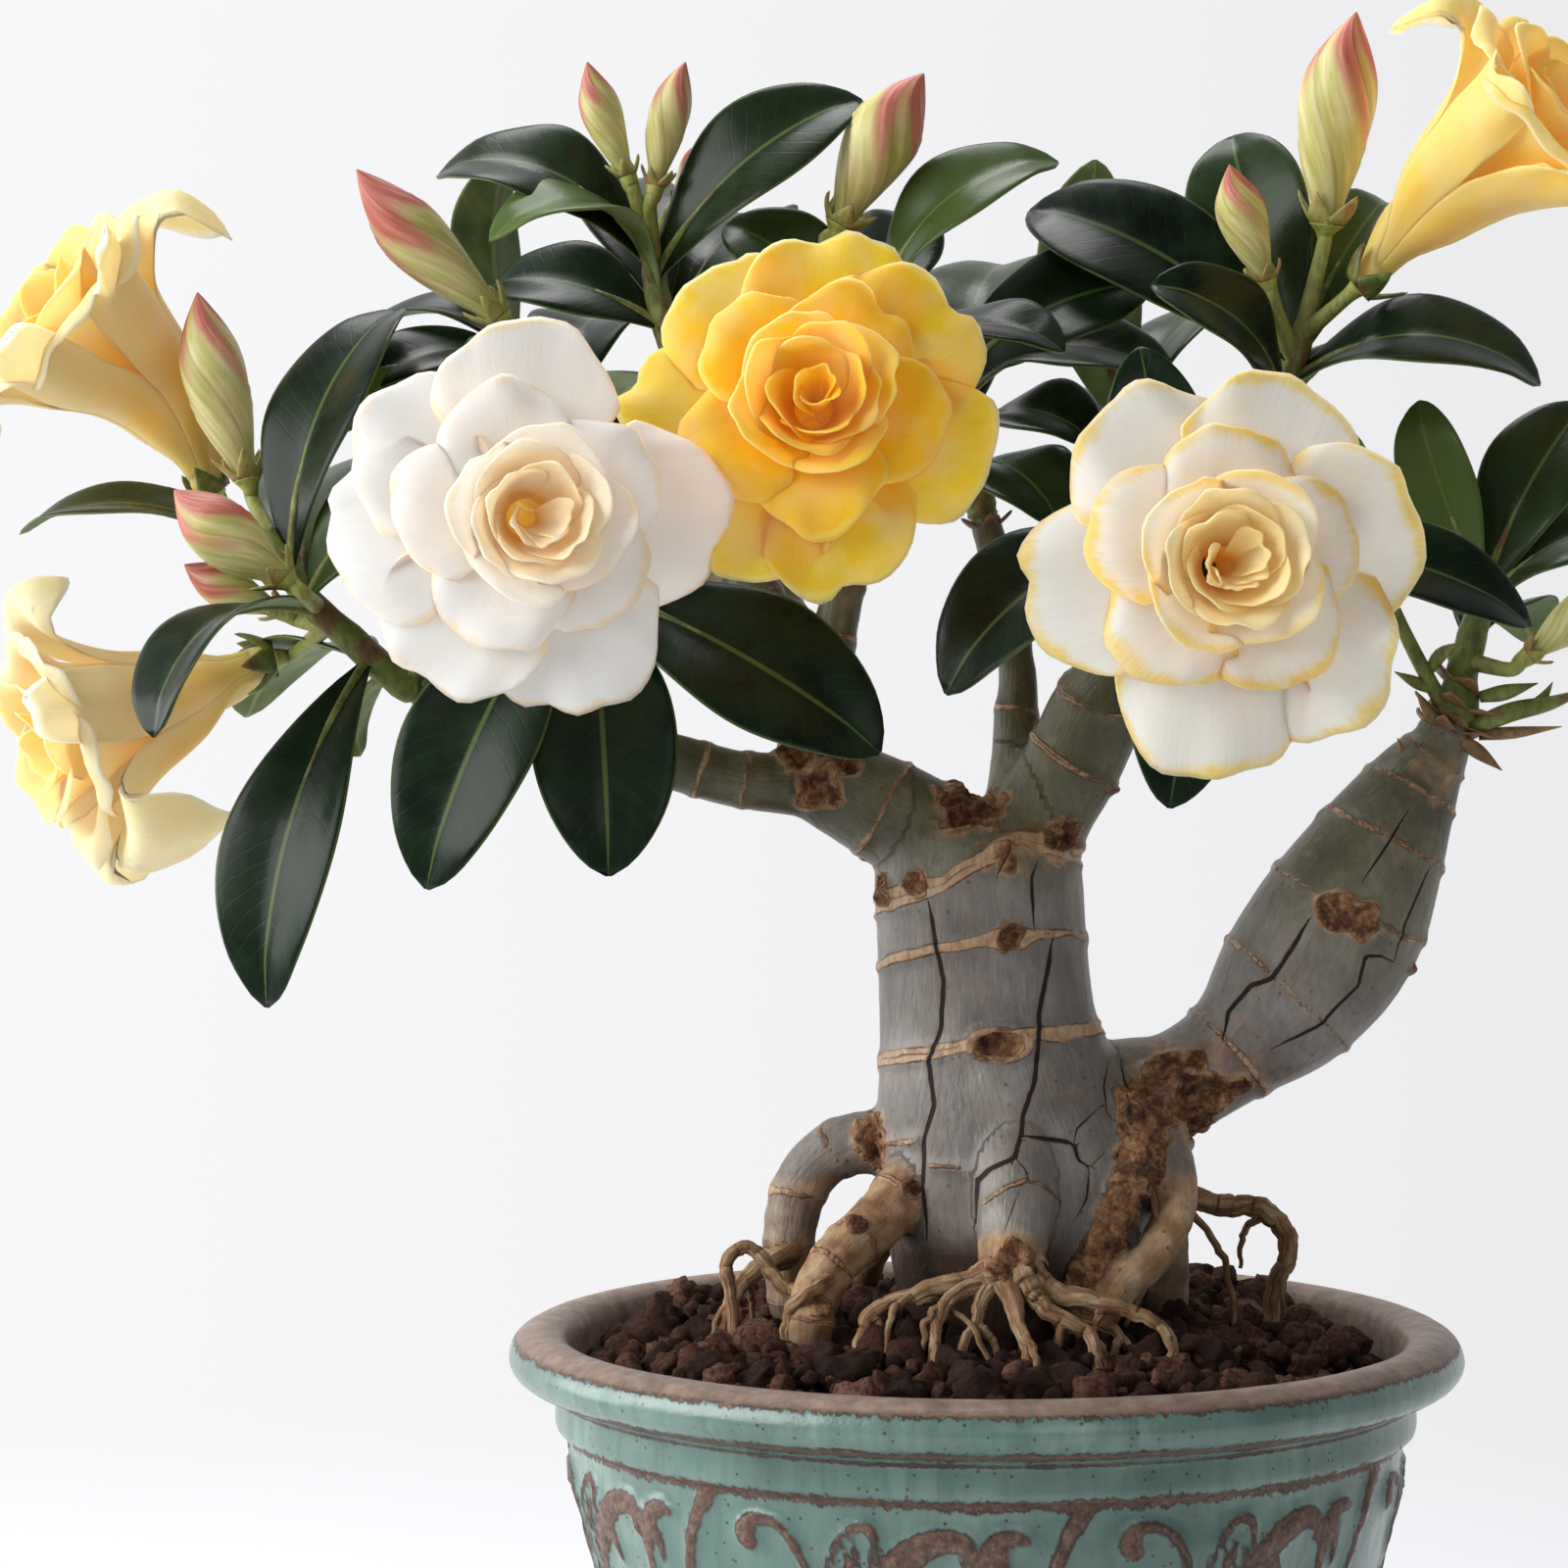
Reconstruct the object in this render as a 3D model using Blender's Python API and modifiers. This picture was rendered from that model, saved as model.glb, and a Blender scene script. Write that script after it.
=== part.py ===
# Potted desert rose: a caudex plant with double blooms in a glazed clay pot.
# The scene is in metres with +Z up, and lengths below are in millimetres unless said otherwise.
# The origin is the middle of the pot's flat base, and -Y is the side that the blooms face.

import math

import bmesh
import bpy
from mathutils import Matrix, Vector, noise

MM = 0.001
GAP = 0.3                   # left between pieces that touch

# Pot
POT_HEIGHT = 143.0
RIM_RADIUS = 95.0
RIM_WIDTH = 12.5
LIP_HEIGHT = 11.5
BAND_HEIGHT = 8.5
FOOT_RADIUS = 54.0
WALL = 8.0
FLOOR = 10.0
POT_SIDES = 36
DRAIN_RADIUS = 5.0
DRAIN_OFFSET = 27.0
DRAINS = 3
DRAIN_SIDES = 10

# Soil
SOIL_EDGE_DROP = 4.5        # soil at the wall, below the rim
SOIL_MOUND = 7.0            # how much higher it is round the trunk
STONE_PITCH = 13.0
STONE_RELIEF = 7.0
SOIL_CELLS = 18

# Caudex
REMESH_SIZE = 1.5
CAUDEX_FACES = 1850
LIMB_SIDES = 16

# Leaves and petals
LEAF_ROWS = 3                # and one more in a long leaf
LONG_LEAF = 58.0
LEAF_THICKNESS = 0.8
LEAF_FOLD = 0.30            # how far the halves are folded up, per unit of half width
PETAL_THICKNESS = 0.7


# Small helpers

def unit(vector):
    return Vector(vector).normalized()


def link(obj, collection):
    collection.objects.link(obj)
    return obj


def object_from_bmesh(name, bm):
    mesh = bpy.data.meshes.new(name)
    bm.to_mesh(mesh)
    bm.free()
    return link(bpy.data.objects.new(name, mesh), work)


def evaluated_copy(name, obj):
    """A new mesh object with the modifiers of obj applied, in place of obj."""
    bpy.context.view_layer.update()
    graph = bpy.context.evaluated_depsgraph_get()
    mesh = bpy.data.meshes.new_from_object(obj.evaluated_get(graph))
    copy = link(bpy.data.objects.new(name, mesh), work)
    copy.matrix_world = obj.matrix_world
    bpy.data.objects.remove(obj)
    return copy


def weld(mesh, distance=0.00001):
    bm = bmesh.new()
    bm.from_mesh(mesh)
    bmesh.ops.remove_doubles(bm, verts=bm.verts, dist=distance)
    bmesh.ops.recalc_face_normals(bm, faces=bm.faces)
    bm.to_mesh(mesh)
    bm.free()


def smooth_path(points, steps):
    """Points (x, y, z, radius) along a Catmull-Rom curve through the given ones."""
    points = [Vector(point) for point in points]
    ends = [2 * points[0] - points[1]] + points + [2 * points[-1] - points[-2]]
    path = []
    for i in range(1, len(points)):
        before, start, stop, after = ends[i - 1:i + 3]
        for step in range(steps):
            t = step / steps
            path.append(0.5 * (2 * start + (stop - before) * t
                               + (2 * before - 5 * start + 4 * stop - after) * t ** 2
                               + (3 * start - before - 3 * stop + after) * t ** 3))
    return path + [points[-1]]


def tube(name, points, sides=8, steps=2):
    """A round tapering tube with flat closed ends along points (x, y, z, radius)."""
    path = smooth_path(points, steps)
    curve = bpy.data.curves.new(name, "CURVE")
    curve.dimensions = "3D"
    curve.bevel_depth = MM
    curve.bevel_resolution = (sides - 4) // 2
    curve.use_fill_caps = True
    spline = curve.splines.new("POLY")
    spline.points.add(len(path) - 1)
    for point, (x, y, z, radius) in zip(spline.points, path):
        point.co = (x * MM, y * MM, z * MM, 1)
        point.radius = radius
    piece = evaluated_copy(name, link(bpy.data.objects.new(name, curve), work))
    weld(piece.data)
    return piece


def turned(name, profile, sides):
    """A profile of (radius, z) points, from the top down the outer side, turned round Z."""
    mesh = bpy.data.meshes.new(name)
    verts = [(radius * MM, 0, z * MM) for radius, z in profile]
    mesh.from_pydata(verts, [(i, i + 1) for i in range(len(verts) - 1)], [])
    obj = link(bpy.data.objects.new(name, mesh), work)
    screw = obj.modifiers.new("turn", "SCREW")
    screw.steps = sides
    screw.render_steps = sides
    screw.use_merge_vertices = True
    screw.merge_threshold = 0.00001
    piece = evaluated_copy(name, obj)
    weld(piece.data)
    return piece


def keep_largest_body(mesh):
    """Drops the scraps and closed hollows that a union leaves."""
    bm = bmesh.new()
    bm.from_mesh(mesh)
    left, bodies = set(bm.verts), []
    while left:
        body, front = set(), [left.pop()]
        while front:
            vert = front.pop()
            body.add(vert)
            for edge in vert.link_edges:
                other = edge.other_vert(vert)
                if other in left:
                    left.remove(other)
                    front.append(other)
        bodies.append(body)
    largest = max(bodies, key=len)
    bmesh.ops.delete(bm, geom=[vert for vert in bm.verts if vert not in largest], context="VERTS")
    bm.to_mesh(mesh)
    bm.free()


def fuse(name, pieces, solver="MANIFOLD"):
    """One body from overlapping closed pieces."""
    body, repeats = pieces[0], bpy.data.collections.new(name + "_repeats")
    work.children.link(repeats)
    for piece in pieces[1:]:
        repeats.objects.link(piece)
    union = body.modifiers.new("union", "BOOLEAN")
    union.operation = "UNION"
    union.operand_type = "COLLECTION"
    union.collection = repeats
    union.solver = solver
    fused = evaluated_copy(name, body)
    for piece in pieces[1:]:
        bpy.data.objects.remove(piece)
    bpy.data.collections.remove(repeats)
    keep_largest_body(fused.data)
    return fused


def make_cutter(obj, name):
    obj.name = name
    obj.users_collection[0].objects.unlink(obj)
    cutters.objects.link(obj)
    obj.hide_render = True
    obj.display_type = "WIRE"


def cut(body, solver="EXACT"):
    """Cuts body with everything in the cutters' collection, which it then empties."""
    difference = body.modifiers.new("cut", "BOOLEAN")
    difference.operation = "DIFFERENCE"
    difference.operand_type = "COLLECTION"
    difference.collection = cutters
    difference.solver = solver
    body = evaluated_copy(body.name, body)
    for cutter in list(cutters.objects):
        bpy.data.objects.remove(cutter)
    return body


def finish(obj, name, colour, roughness, metallic=0.0, smooth_angle=40):
    """Names the piece, gives it its material and moves it to the plant's collection."""
    obj.name = name
    obj.data.name = name
    material = bpy.data.materials.new(name)
    material.use_nodes = True
    shader = material.node_tree.nodes["Principled BSDF"]
    shader.inputs["Base Color"].default_value = (*colour, 1)
    shader.inputs["Roughness"].default_value = roughness
    shader.inputs["Metallic"].default_value = metallic
    obj.data.materials.clear()
    obj.data.materials.append(material)
    obj.data.shade_smooth()
    obj.data.set_sharp_from_angle(angle=math.radians(smooth_angle))
    work.objects.unlink(obj)
    plant.objects.link(obj)
    return obj


# Pot: a turned shell with a rounded lip, a band under it and drain holes beside the middle

LIP_BOTTOM = POT_HEIGHT - LIP_HEIGHT
BAND_BOTTOM = LIP_BOTTOM - BAND_HEIGHT
MOUTH_RADIUS = RIM_RADIUS - RIM_WIDTH
THROAT_RADIUS = MOUTH_RADIUS - 5
FLOOR_RADIUS = FOOT_RADIUS - WALL + 2


def pot_inner_radius(z):
    """The inner wall: straight from the floor's edge to the throat, then out to the mouth."""
    throat_height = BAND_BOTTOM - 4
    if z < throat_height:
        share = (z - FLOOR) / (throat_height - FLOOR)
        return FLOOR_RADIUS + share * (THROAT_RADIUS - FLOOR_RADIUS)
    share = min((z - throat_height) / (POT_HEIGHT - 5 - throat_height), 1)
    return THROAT_RADIUS + share * (MOUTH_RADIUS - THROAT_RADIUS)


def make_pot():
    profile = [
        (0, FLOOR), (FLOOR_RADIUS, FLOOR),
        (THROAT_RADIUS, BAND_BOTTOM - 4),
        (MOUTH_RADIUS, POT_HEIGHT - 5),
        (MOUTH_RADIUS + 3, POT_HEIGHT),
        (RIM_RADIUS - 4, POT_HEIGHT - 0.2),
        (RIM_RADIUS - 1, POT_HEIGHT - 2.2),
        (RIM_RADIUS, POT_HEIGHT - 5.5),
        (RIM_RADIUS - 1.2, POT_HEIGHT - 8.8),
        (RIM_RADIUS - 4.5, LIP_BOTTOM + 0.8),
        (RIM_RADIUS - 8.5, LIP_BOTTOM),
        (RIM_RADIUS - 9.2, BAND_BOTTOM + 1),
        (RIM_RADIUS - 11.6, BAND_BOTTOM - 1.2),
        (RIM_RADIUS - 12.6, BAND_BOTTOM - 10),
        (RIM_RADIUS - 25.5, 61),
        (FOOT_RADIUS + 2.5, 8),
        (FOOT_RADIUS + 2, 1.5),
        (FOOT_RADIUS, 0),
        (0, 0),
    ]
    pot = turned("pot_body", profile, POT_SIDES)
    for i in range(DRAINS):
        angle = math.tau * (i + 0.25) / DRAINS
        x, y = DRAIN_OFFSET * math.cos(angle), DRAIN_OFFSET * math.sin(angle)
        bpy.ops.mesh.primitive_cylinder_add(vertices=DRAIN_SIDES, radius=DRAIN_RADIUS * MM,
                                            depth=3 * FLOOR * MM, location=(x * MM, y * MM, FLOOR / 2 * MM))
        make_cutter(bpy.context.object, "drain_cutter")
    return finish(cut(pot), "pot", (0.17, 0.29, 0.25), 0.35)


# Caudex: limbs of round section, melted together, with the woody ends cut flat for the leafy stems

TRUNK = [(7, 0, 130, 20), (7, 0, 138, 22), (7, 0, 150, 25), (7, 0, 165, 27.5), (5, 0, 178, 26.8),
         (2.5, 0, 190, 24.6), (0.5, 0, 202, 21.9), (-0.8, 0, 220, 20.9), (-1.5, 0, 233, 20.6),
         (-1.5, 0, 242, 18)]

ROOTS = {
    "arc_left": [(-8, 2, 176, 7), (-17, 2, 178.5, 6.6), (-25, 2, 179, 6.3), (-31.5, 2, 176.5, 5.9),
                 (-36.8, 2, 170, 5.7), (-39, 2, 160, 5.4), (-38.5, 2, 149, 5), (-37, 2, 134, 4)],
    "front_left": [(-8, -8, 180, 7), (-16.2, -14, 171.5, 6.2), (-22, -20, 166, 5.6),
                   (-28.4, -25, 161, 5.2), (-33.5, -29, 154, 4.9), (-35, -31, 146, 4.4),
                   (-35, -32, 134, 3)],
    "front": [(4, -12, 190, 9), (5, -22, 177, 8.6), (4.5, -28, 167, 7.4), (3.5, -33, 159.5, 6.2)],
    "front_thin_a": [(4, -33, 158.5, 4), (-7, -36, 155, 2.6), (-19, -35, 150.5, 2.1),
                     (-25, -35, 145, 1.7), (-27, -36, 137, 1.6)],
    "front_thin_b": [(3, -34, 158, 3.4), (-6, -40, 152, 2.3), (-10, -43, 147, 1.9), (-11, -45, 137, 1.6)],
    "front_thin_c": [(4, -34, 158, 3.6), (6.5, -42, 150.5, 2.6), (8.5, -47, 144, 2), (10, -50, 135, 1.6)],
    "front_thin_d": [(5, -34, 158, 3.6), (12, -41, 151.5, 2.5), (19, -44, 146, 2), (23, -47, 136, 1.6)],
    "front_thin_e": [(6, -33, 158.5, 3.8), (17, -37, 153, 2.6), (27, -38.5, 149, 2.2),
                     (34, -39, 145.5, 1.9), (38, -41, 136, 1.6)],
    "right": [(31, -4, 186, 6), (36, -11, 176, 5), (36.3, -16, 167.5, 4.4), (32, -22, 160, 4.2),
              (25, -27, 154, 3.8), (20, -30, 146, 3.2), (18, -31, 136, 2.6)],
    "right_bark": [(26, -10, 188, 5), (29.5, -15.5, 179, 4.4), (25.5, -20, 171, 4), (21.5, -23, 162, 3.8),
                   (17.5, -25, 153, 3.4), (15, -26, 140, 3)],
    "far_right": [(32, 2, 171, 5), (41.3, 4, 168, 2.6), (48, 5, 166, 2.2), (54, 6, 165.5, 2.1),
                  (59.5, 6, 162, 2), (61, 6, 156, 1.9), (58.5, 5, 150, 1.8), (57, 4, 140, 1.7)],
    "right_foot": [(30, 4, 178, 8), (34, 6, 164, 6.4), (36, 8, 152, 5.4), (37, 9, 136, 4)],
    "back_right": [(12, 12, 182, 8), (18, 24, 170, 6.4), (24, 33, 157, 5.2), (27, 38, 146, 4.4),
                   (28, 40, 134, 3.4)],
    "back_left": [(-6, 10, 180, 8), (-14, 22, 169, 6), (-21, 31, 157, 5), (-25, 37, 146, 4.2),
                  (-26, 39, 134, 3.2)],
    "arc_left_fine": [(-37, 1, 158, 3), (-43, -7, 156, 2), (-48, -11, 153.5, 1.7), (-51, -14, 147, 1.7),
                      (-51, -15, 138, 1.6)],
}

BRANCHES = {
    "left": [(0, 0, 230, 15), (-11, -1, 240, 11.4), (-23, -1.5, 247, 10.2), (-33, -2, 252, 9)],
    "left_long": [(-31, -2, 250.5, 7), (-47.6, -4, 251.5, 5.8), (-61, -5, 255, 5.7), (-77, -6, 259.5, 4.9),
                  (-95, -8, 264.5, 4), (-112, -10, 270, 3.3)],
    "left_up": [(-31, -1, 250, 9), (-32.5, 0, 260, 7.8), (-34, 2, 268, 7)],
    "front_left": [(-33, 0, 262, 6.5), (-46, -5, 270.5, 5), (-59, -12, 278.5, 4), (-70, -17, 285, 3.4)],
    "top_left": [(-34, 3, 264, 6.5), (-42, 7, 282, 5), (-51, 10, 303, 4), (-57, 12, 320, 3.3)],
    "middle": [(-33, 3, 266, 5.8), (-29, 5, 285, 4.4), (-25, 5, 300, 3.6), (-23, 5, 312, 3.2)],
    "back_left": [(-41, 8, 280, 4.6), (-58, 17, 296, 3.8), (-72, 25, 308, 3.4), (-79, 29, 315, 3.2)],
    "back": [(-35, 5, 272, 5), (-41, 20, 288, 4.2), (-46, 35, 302, 3.5), (-48, 42, 310, 3.2)],
    "right": [(4, 0, 232, 15), (10.5, -1, 244, 10.4), (17, -3, 255, 9.8), (22.5, -5, 267, 9.2),
              (28, -9, 277, 6), (33, -13, 285, 3.6)],
    "centre": [(5, 3, 246, 5.4), (6.2, 7, 257, 4.9), (6.4, 9, 264, 4.6), (6.6, 11, 273, 3.9),
               (4, 14, 289, 3.5), (0, 17, 304, 3.2)],
    "right_up": [(22, -3, 262, 7), (31, 0, 278, 5.2), (43, 3, 294, 4.1), (51, 5, 307, 3.4)],
    "back_right": [(21, 0, 262, 6), (27, 17, 277, 4.6), (30, 33, 293, 3.7), (31, 42, 304, 3.2)],
    "swollen": [(8, 3, 182, 14), (28, 6, 188.5, 11), (38, 8, 190, 10.6), (49.5, 9, 197, 11.4),
                (60.5, 10, 207.5, 16.4), (71, 11, 221.5, 17.6), (78.6, 11, 236, 14.4), (86.4, 12, 250, 9.6),
                (91, 12, 257, 6.6), (93.5, 12.5, 263, 5)],
}

BARK_STUMP = [(-4, -2, 238, 6), (-4.2, -2, 246.5, 5.4)]

CUT_END_BRANCHES = ("left_long", "front_left", "top_left", "middle", "back_left", "back", "right",
                    "centre", "right_up", "back_right", "swollen")


def branch_end(name):
    """The middle of a branch's cut end, and the direction that it points in."""
    last, before = Vector(BRANCHES[name][-1]).xyz, Vector(BRANCHES[name][-2]).xyz
    return last, (last - before).normalized()


def make_caudex():
    limbs = [TRUNK, BARK_STUMP, *ROOTS.values()]
    for name, points in BRANCHES.items():
        stop, direction = branch_end(name)
        if name in CUT_END_BRANCHES:
            points = points + [(*(stop + 2.5 * direction), points[-1][3])]
        limbs.append(points)
    pieces = [tube("limb", points, LIMB_SIDES, 5) for points in limbs]
    merged = bmesh.new()
    for piece in pieces:
        merged.from_mesh(piece.data)
        bpy.data.objects.remove(piece)
    body = object_from_bmesh("caudex_body", merged)
    melt = body.modifiers.new("melt", "REMESH")
    melt.mode = "VOXEL"
    melt.voxel_size = REMESH_SIZE * MM
    soften = body.modifiers.new("soften", "SMOOTH")
    soften.factor = 0.5
    soften.iterations = 5
    body = evaluated_copy("caudex_body", body)
    fewer = body.modifiers.new("fewer", "DECIMATE")
    fewer.ratio = CAUDEX_FACES / (2 * len(body.data.polygons))
    fewer.use_collapse_triangulate = True
    body = evaluated_copy("caudex_body", body)
    for name in CUT_END_BRANCHES:
        stop, direction = branch_end(name)
        turn = direction.to_track_quat("Z", "Y")
        bpy.ops.mesh.primitive_cylinder_add(vertices=12, radius=9 * MM, depth=8 * MM,
                                            location=(stop + 4 * direction) * MM,
                                            rotation=turn.to_euler())
        make_cutter(bpy.context.object, "trim_cutter")
    return finish(cut(body, "MANIFOLD"), "caudex", (0.24, 0.21, 0.19), 0.6)


# Soil: a plug of the pot's inner shape, its top raised into stones by a cell formula

def soil_height(x, y):
    """Height of the soil's top: a low mound with a dome for each stone."""
    radius = math.hypot(x, y)
    rim_share = min(radius / MOUTH_RADIUS, 1)
    level = POT_HEIGHT - SOIL_EDGE_DROP + SOIL_MOUND * (1 - rim_share ** 2)
    near, far = noise.voronoi(Vector((x, y, 0)) / STONE_PITCH)[0][:2]
    dome = 1 - (near / (far + 0.001)) ** 2
    return level + STONE_RELIEF * (dome - 0.5) * (1 - rim_share ** 8)


def make_soil(caudex):
    edge_height = POT_HEIGHT - SOIL_EDGE_DROP
    flat_side = math.cos(math.pi / POT_SIDES)
    top_radius = pot_inner_radius(edge_height) * flat_side - GAP
    floor_radius = pot_inner_radius(FLOOR) * flat_side - GAP
    throat = BAND_BOTTOM - 4
    throat_radius = pot_inner_radius(throat) * flat_side - GAP
    bm = bmesh.new()
    bmesh.ops.create_grid(bm, x_segments=SOIL_CELLS, y_segments=SOIL_CELLS, size=1.0)
    edge_verts = {vert for vert in bm.verts if vert.is_boundary}
    for vert in bm.verts:
        u, v = vert.co.x, vert.co.y
        x = top_radius * u * math.sqrt(1 - v * v / 2)
        y = top_radius * v * math.sqrt(1 - u * u / 2)
        z = edge_height if vert in edge_verts else soil_height(x, y)
        vert.co = Vector((x, y, z)) * MM
    edges = [edge for edge in bm.edges if edge.is_boundary]
    for radius, z in ((throat_radius, throat), (floor_radius, FLOOR + GAP)):
        ring = bmesh.ops.extrude_edge_only(bm, edges=edges)["geom"]
        edges = [item for item in ring if isinstance(item, bmesh.types.BMEdge)]
        for vert in (item for item in ring if isinstance(item, bmesh.types.BMVert)):
            around = vert.co.xy.normalized() * radius
            vert.co = Vector((around.x, around.y, z)) * MM
    edges = [edge for edge in bm.edges if edge.is_boundary]
    bmesh.ops.contextual_create(bm, geom=edges)
    bmesh.ops.triangulate(bm, faces=bm.faces)
    bmesh.ops.recalc_face_normals(bm, faces=bm.faces)
    soil = object_from_bmesh("soil_body", bm)
    hole = link(bpy.data.objects.new("root_cutter", caudex.data.copy()), work)
    grow = hole.modifiers.new("grow", "DISPLACE")
    grow.strength = 1.4 * GAP * MM
    grow.mid_level = 0
    make_cutter(evaluated_copy("root_cutter", hole), "root_cutter")
    make_cutter(link(bpy.data.objects.new("crevice_cutter", caudex.data.copy()), work), "crevice_cutter")
    soil = cut(soil, "MANIFOLD")
    keep_largest_body(soil.data)
    return finish(soil, "soil", (0.06, 0.035, 0.03), 0.95, smooth_angle=20)


# Leaves: an obovate outline on an arched midrib, folded up a little along it

def leaf_half_width(t, width):
    """Half the blade's width at t, from the stalk at 0 to the tip at 1, widest at 0.6."""
    body = math.sin(math.pi * min(t, 0.965) ** 1.36) ** 0.62
    stalk = 0.09 * (1 - t)
    return width / 2 * max(body, stalk)


def leaf_station(share):
    """Where the rows of the blade lie: closer together towards the rounded tip."""
    return share * (1.28 - 0.28 * share)


def leaf(base, tip, width, arch, face):
    """A leaf from base to tip, arched towards face, the way that its upper side looks."""
    base, tip = Vector(base), Vector(tip)
    chord = tip - base
    rise = Vector(face) - Vector(face).project(chord)
    bend = (base + tip) / 2 + 2 * arch * rise.normalized()
    rows = LEAF_ROWS + (chord.length > LONG_LEAF)
    bm = bmesh.new()
    bmesh.ops.create_grid(bm, x_segments=2, y_segments=rows, size=1.0)
    for vert in bm.verts:
        s, t = vert.co.x, leaf_station((vert.co.y + 1) / 2)
        middle = (1 - t) ** 2 * base + 2 * t * (1 - t) * bend + t ** 2 * tip
        along = unit((1 - t) * (bend - base) + t * (tip - bend))
        side = unit(along.cross(rise))
        up = side.cross(along)
        half = leaf_half_width(t, width)
        vert.co = (middle + side * s * half + up * abs(s) * half * LEAF_FOLD) * MM
    bmesh.ops.triangulate(bm, faces=bm.faces)
    obj = object_from_bmesh("leaf", bm)
    thick = obj.modifiers.new("thick", "SOLIDIFY")
    thick.thickness = LEAF_THICKNESS * MM
    thick.offset = 0
    return evaluated_copy("leaf", obj)


# Blooms: whorls of petals round a corolla tube, in a frame whose Z looks out of the bloom

def bloom_frame(centre, look):
    look = unit(look)
    right = unit(Vector((0, 0, 1)).cross(look))
    above = look.cross(right)
    frame = Matrix((right, above, look)).transposed().to_4x4()
    frame.translation = Vector(centre)
    return frame


def petal_point(shape, angle, s, t):
    """A point of a petal: s runs across it from -1 to 1, t from its foot at 0 to its rim at 1."""
    foot, bend, rim = (Vector(shape[key]) for key in ("foot", "bend", "rim"))
    radius, height = (1 - t) ** 2 * foot + 2 * t * (1 - t) * bend + t ** 2 * rim
    radius -= shape["round"] * (rim.x - foot.x) * s * s * t * t
    radius += shape.get("spiral", 0) * s * t
    height += shape["tilt"] * s * t - shape.get("droop", 0) * s * s * t
    claw = 1 - shape.get("claw", 0) * (1 - t) ** 2
    around = math.radians(angle + s * shape["spread"] * claw * (1 - shape["narrow"] * t ** 3))
    return Vector((radius * math.cos(around), radius * math.sin(around), height))


def petal(frame, shape, angle, cells):
    bm = bmesh.new()
    bmesh.ops.create_grid(bm, x_segments=cells[0], y_segments=cells[1], size=1.0)
    for vert in bm.verts:
        point = petal_point(shape, angle, vert.co.x, (vert.co.y + 1) / 2)
        vert.co = (frame @ point) * MM
    bmesh.ops.triangulate(bm, faces=bm.faces)
    obj = object_from_bmesh("petal", bm)
    thick = obj.modifiers.new("thick", "SOLIDIFY")
    thick.thickness = PETAL_THICKNESS * MM
    thick.offset = 0
    return evaluated_copy("petal", obj)


OPEN_ROSE = [
    dict(foot=(6, -1), bend=(20, 0), rim=(35.5, -3), spread=37, narrow=0.35, round=0.16, tilt=1.8,
         claw=0.3),
    dict(foot=(5, 0), bend=(14, 3.5), rim=(24.5, 5), spread=44, narrow=0.35, round=0.2, tilt=1.5,
         claw=0.3),
    dict(foot=(4.5, 0.5), bend=(12.5, 4), rim=(15.5, 12), spread=52, narrow=0.2, round=0.1, tilt=0.5,
         spiral=1.3),
    dict(foot=(3.5, 0.5), bend=(7.5, 5), rim=(8.6, 13.5), spread=62, narrow=0.1, round=0.0, tilt=0.3,
         claw=0.1, spiral=1.2),
]

TRUMPET = [
    dict(foot=(13, -2), bend=(23, 6), rim=(30.5, -6), spread=41, narrow=0.3, round=0.2, tilt=1.8,
         claw=0.17),
    dict(foot=(9.5, -2), bend=(15, 9), rim=(20, 11), spread=52, narrow=0.3, round=0.15, tilt=1.4,
         claw=0.17),
    dict(foot=(6, -2), bend=(8, 9), rim=(10.5, 16), spread=68, narrow=0.2, round=0.1, tilt=0.5,
         claw=0.17, spiral=1.2),
]

PETAL_CELLS = [(3, 2), (2, 2), (2, 2), (2, 1)]


def make_bloom(name, plan, colour):
    """A bloom from the seat on its stalk to its rim, with the petals at the plan's angles."""
    frame = bloom_frame(plan["centre"], plan["look"])
    seat, rise = Vector(plan["seat"]), unit(plan["rise"])
    throat = plan["throat"]
    foot = seat + GAP * rise
    spots = [(*foot, 2.4), (*(foot + 3 * rise), 2.8)]
    spots += [(*(frame @ Vector((0, 0, depth))), radius) for depth, radius in throat]
    pieces = [tube("corolla", spots, 6, 1)]
    for shape, angles, cells in zip(plan["whorls"], plan["angles"], PETAL_CELLS):
        size = plan.get("size", 1.0)
        scaled = {**shape, **{key: Vector(shape[key]) * size for key in ("foot", "bend", "rim")}}
        pieces += [petal(frame, scaled, angle, cells) for angle in angles]
    return finish(fuse(name, pieces), name, colour, 0.5)


def ring_of(count, start):
    return [start + 360 * i / count for i in range(count)]


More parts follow.
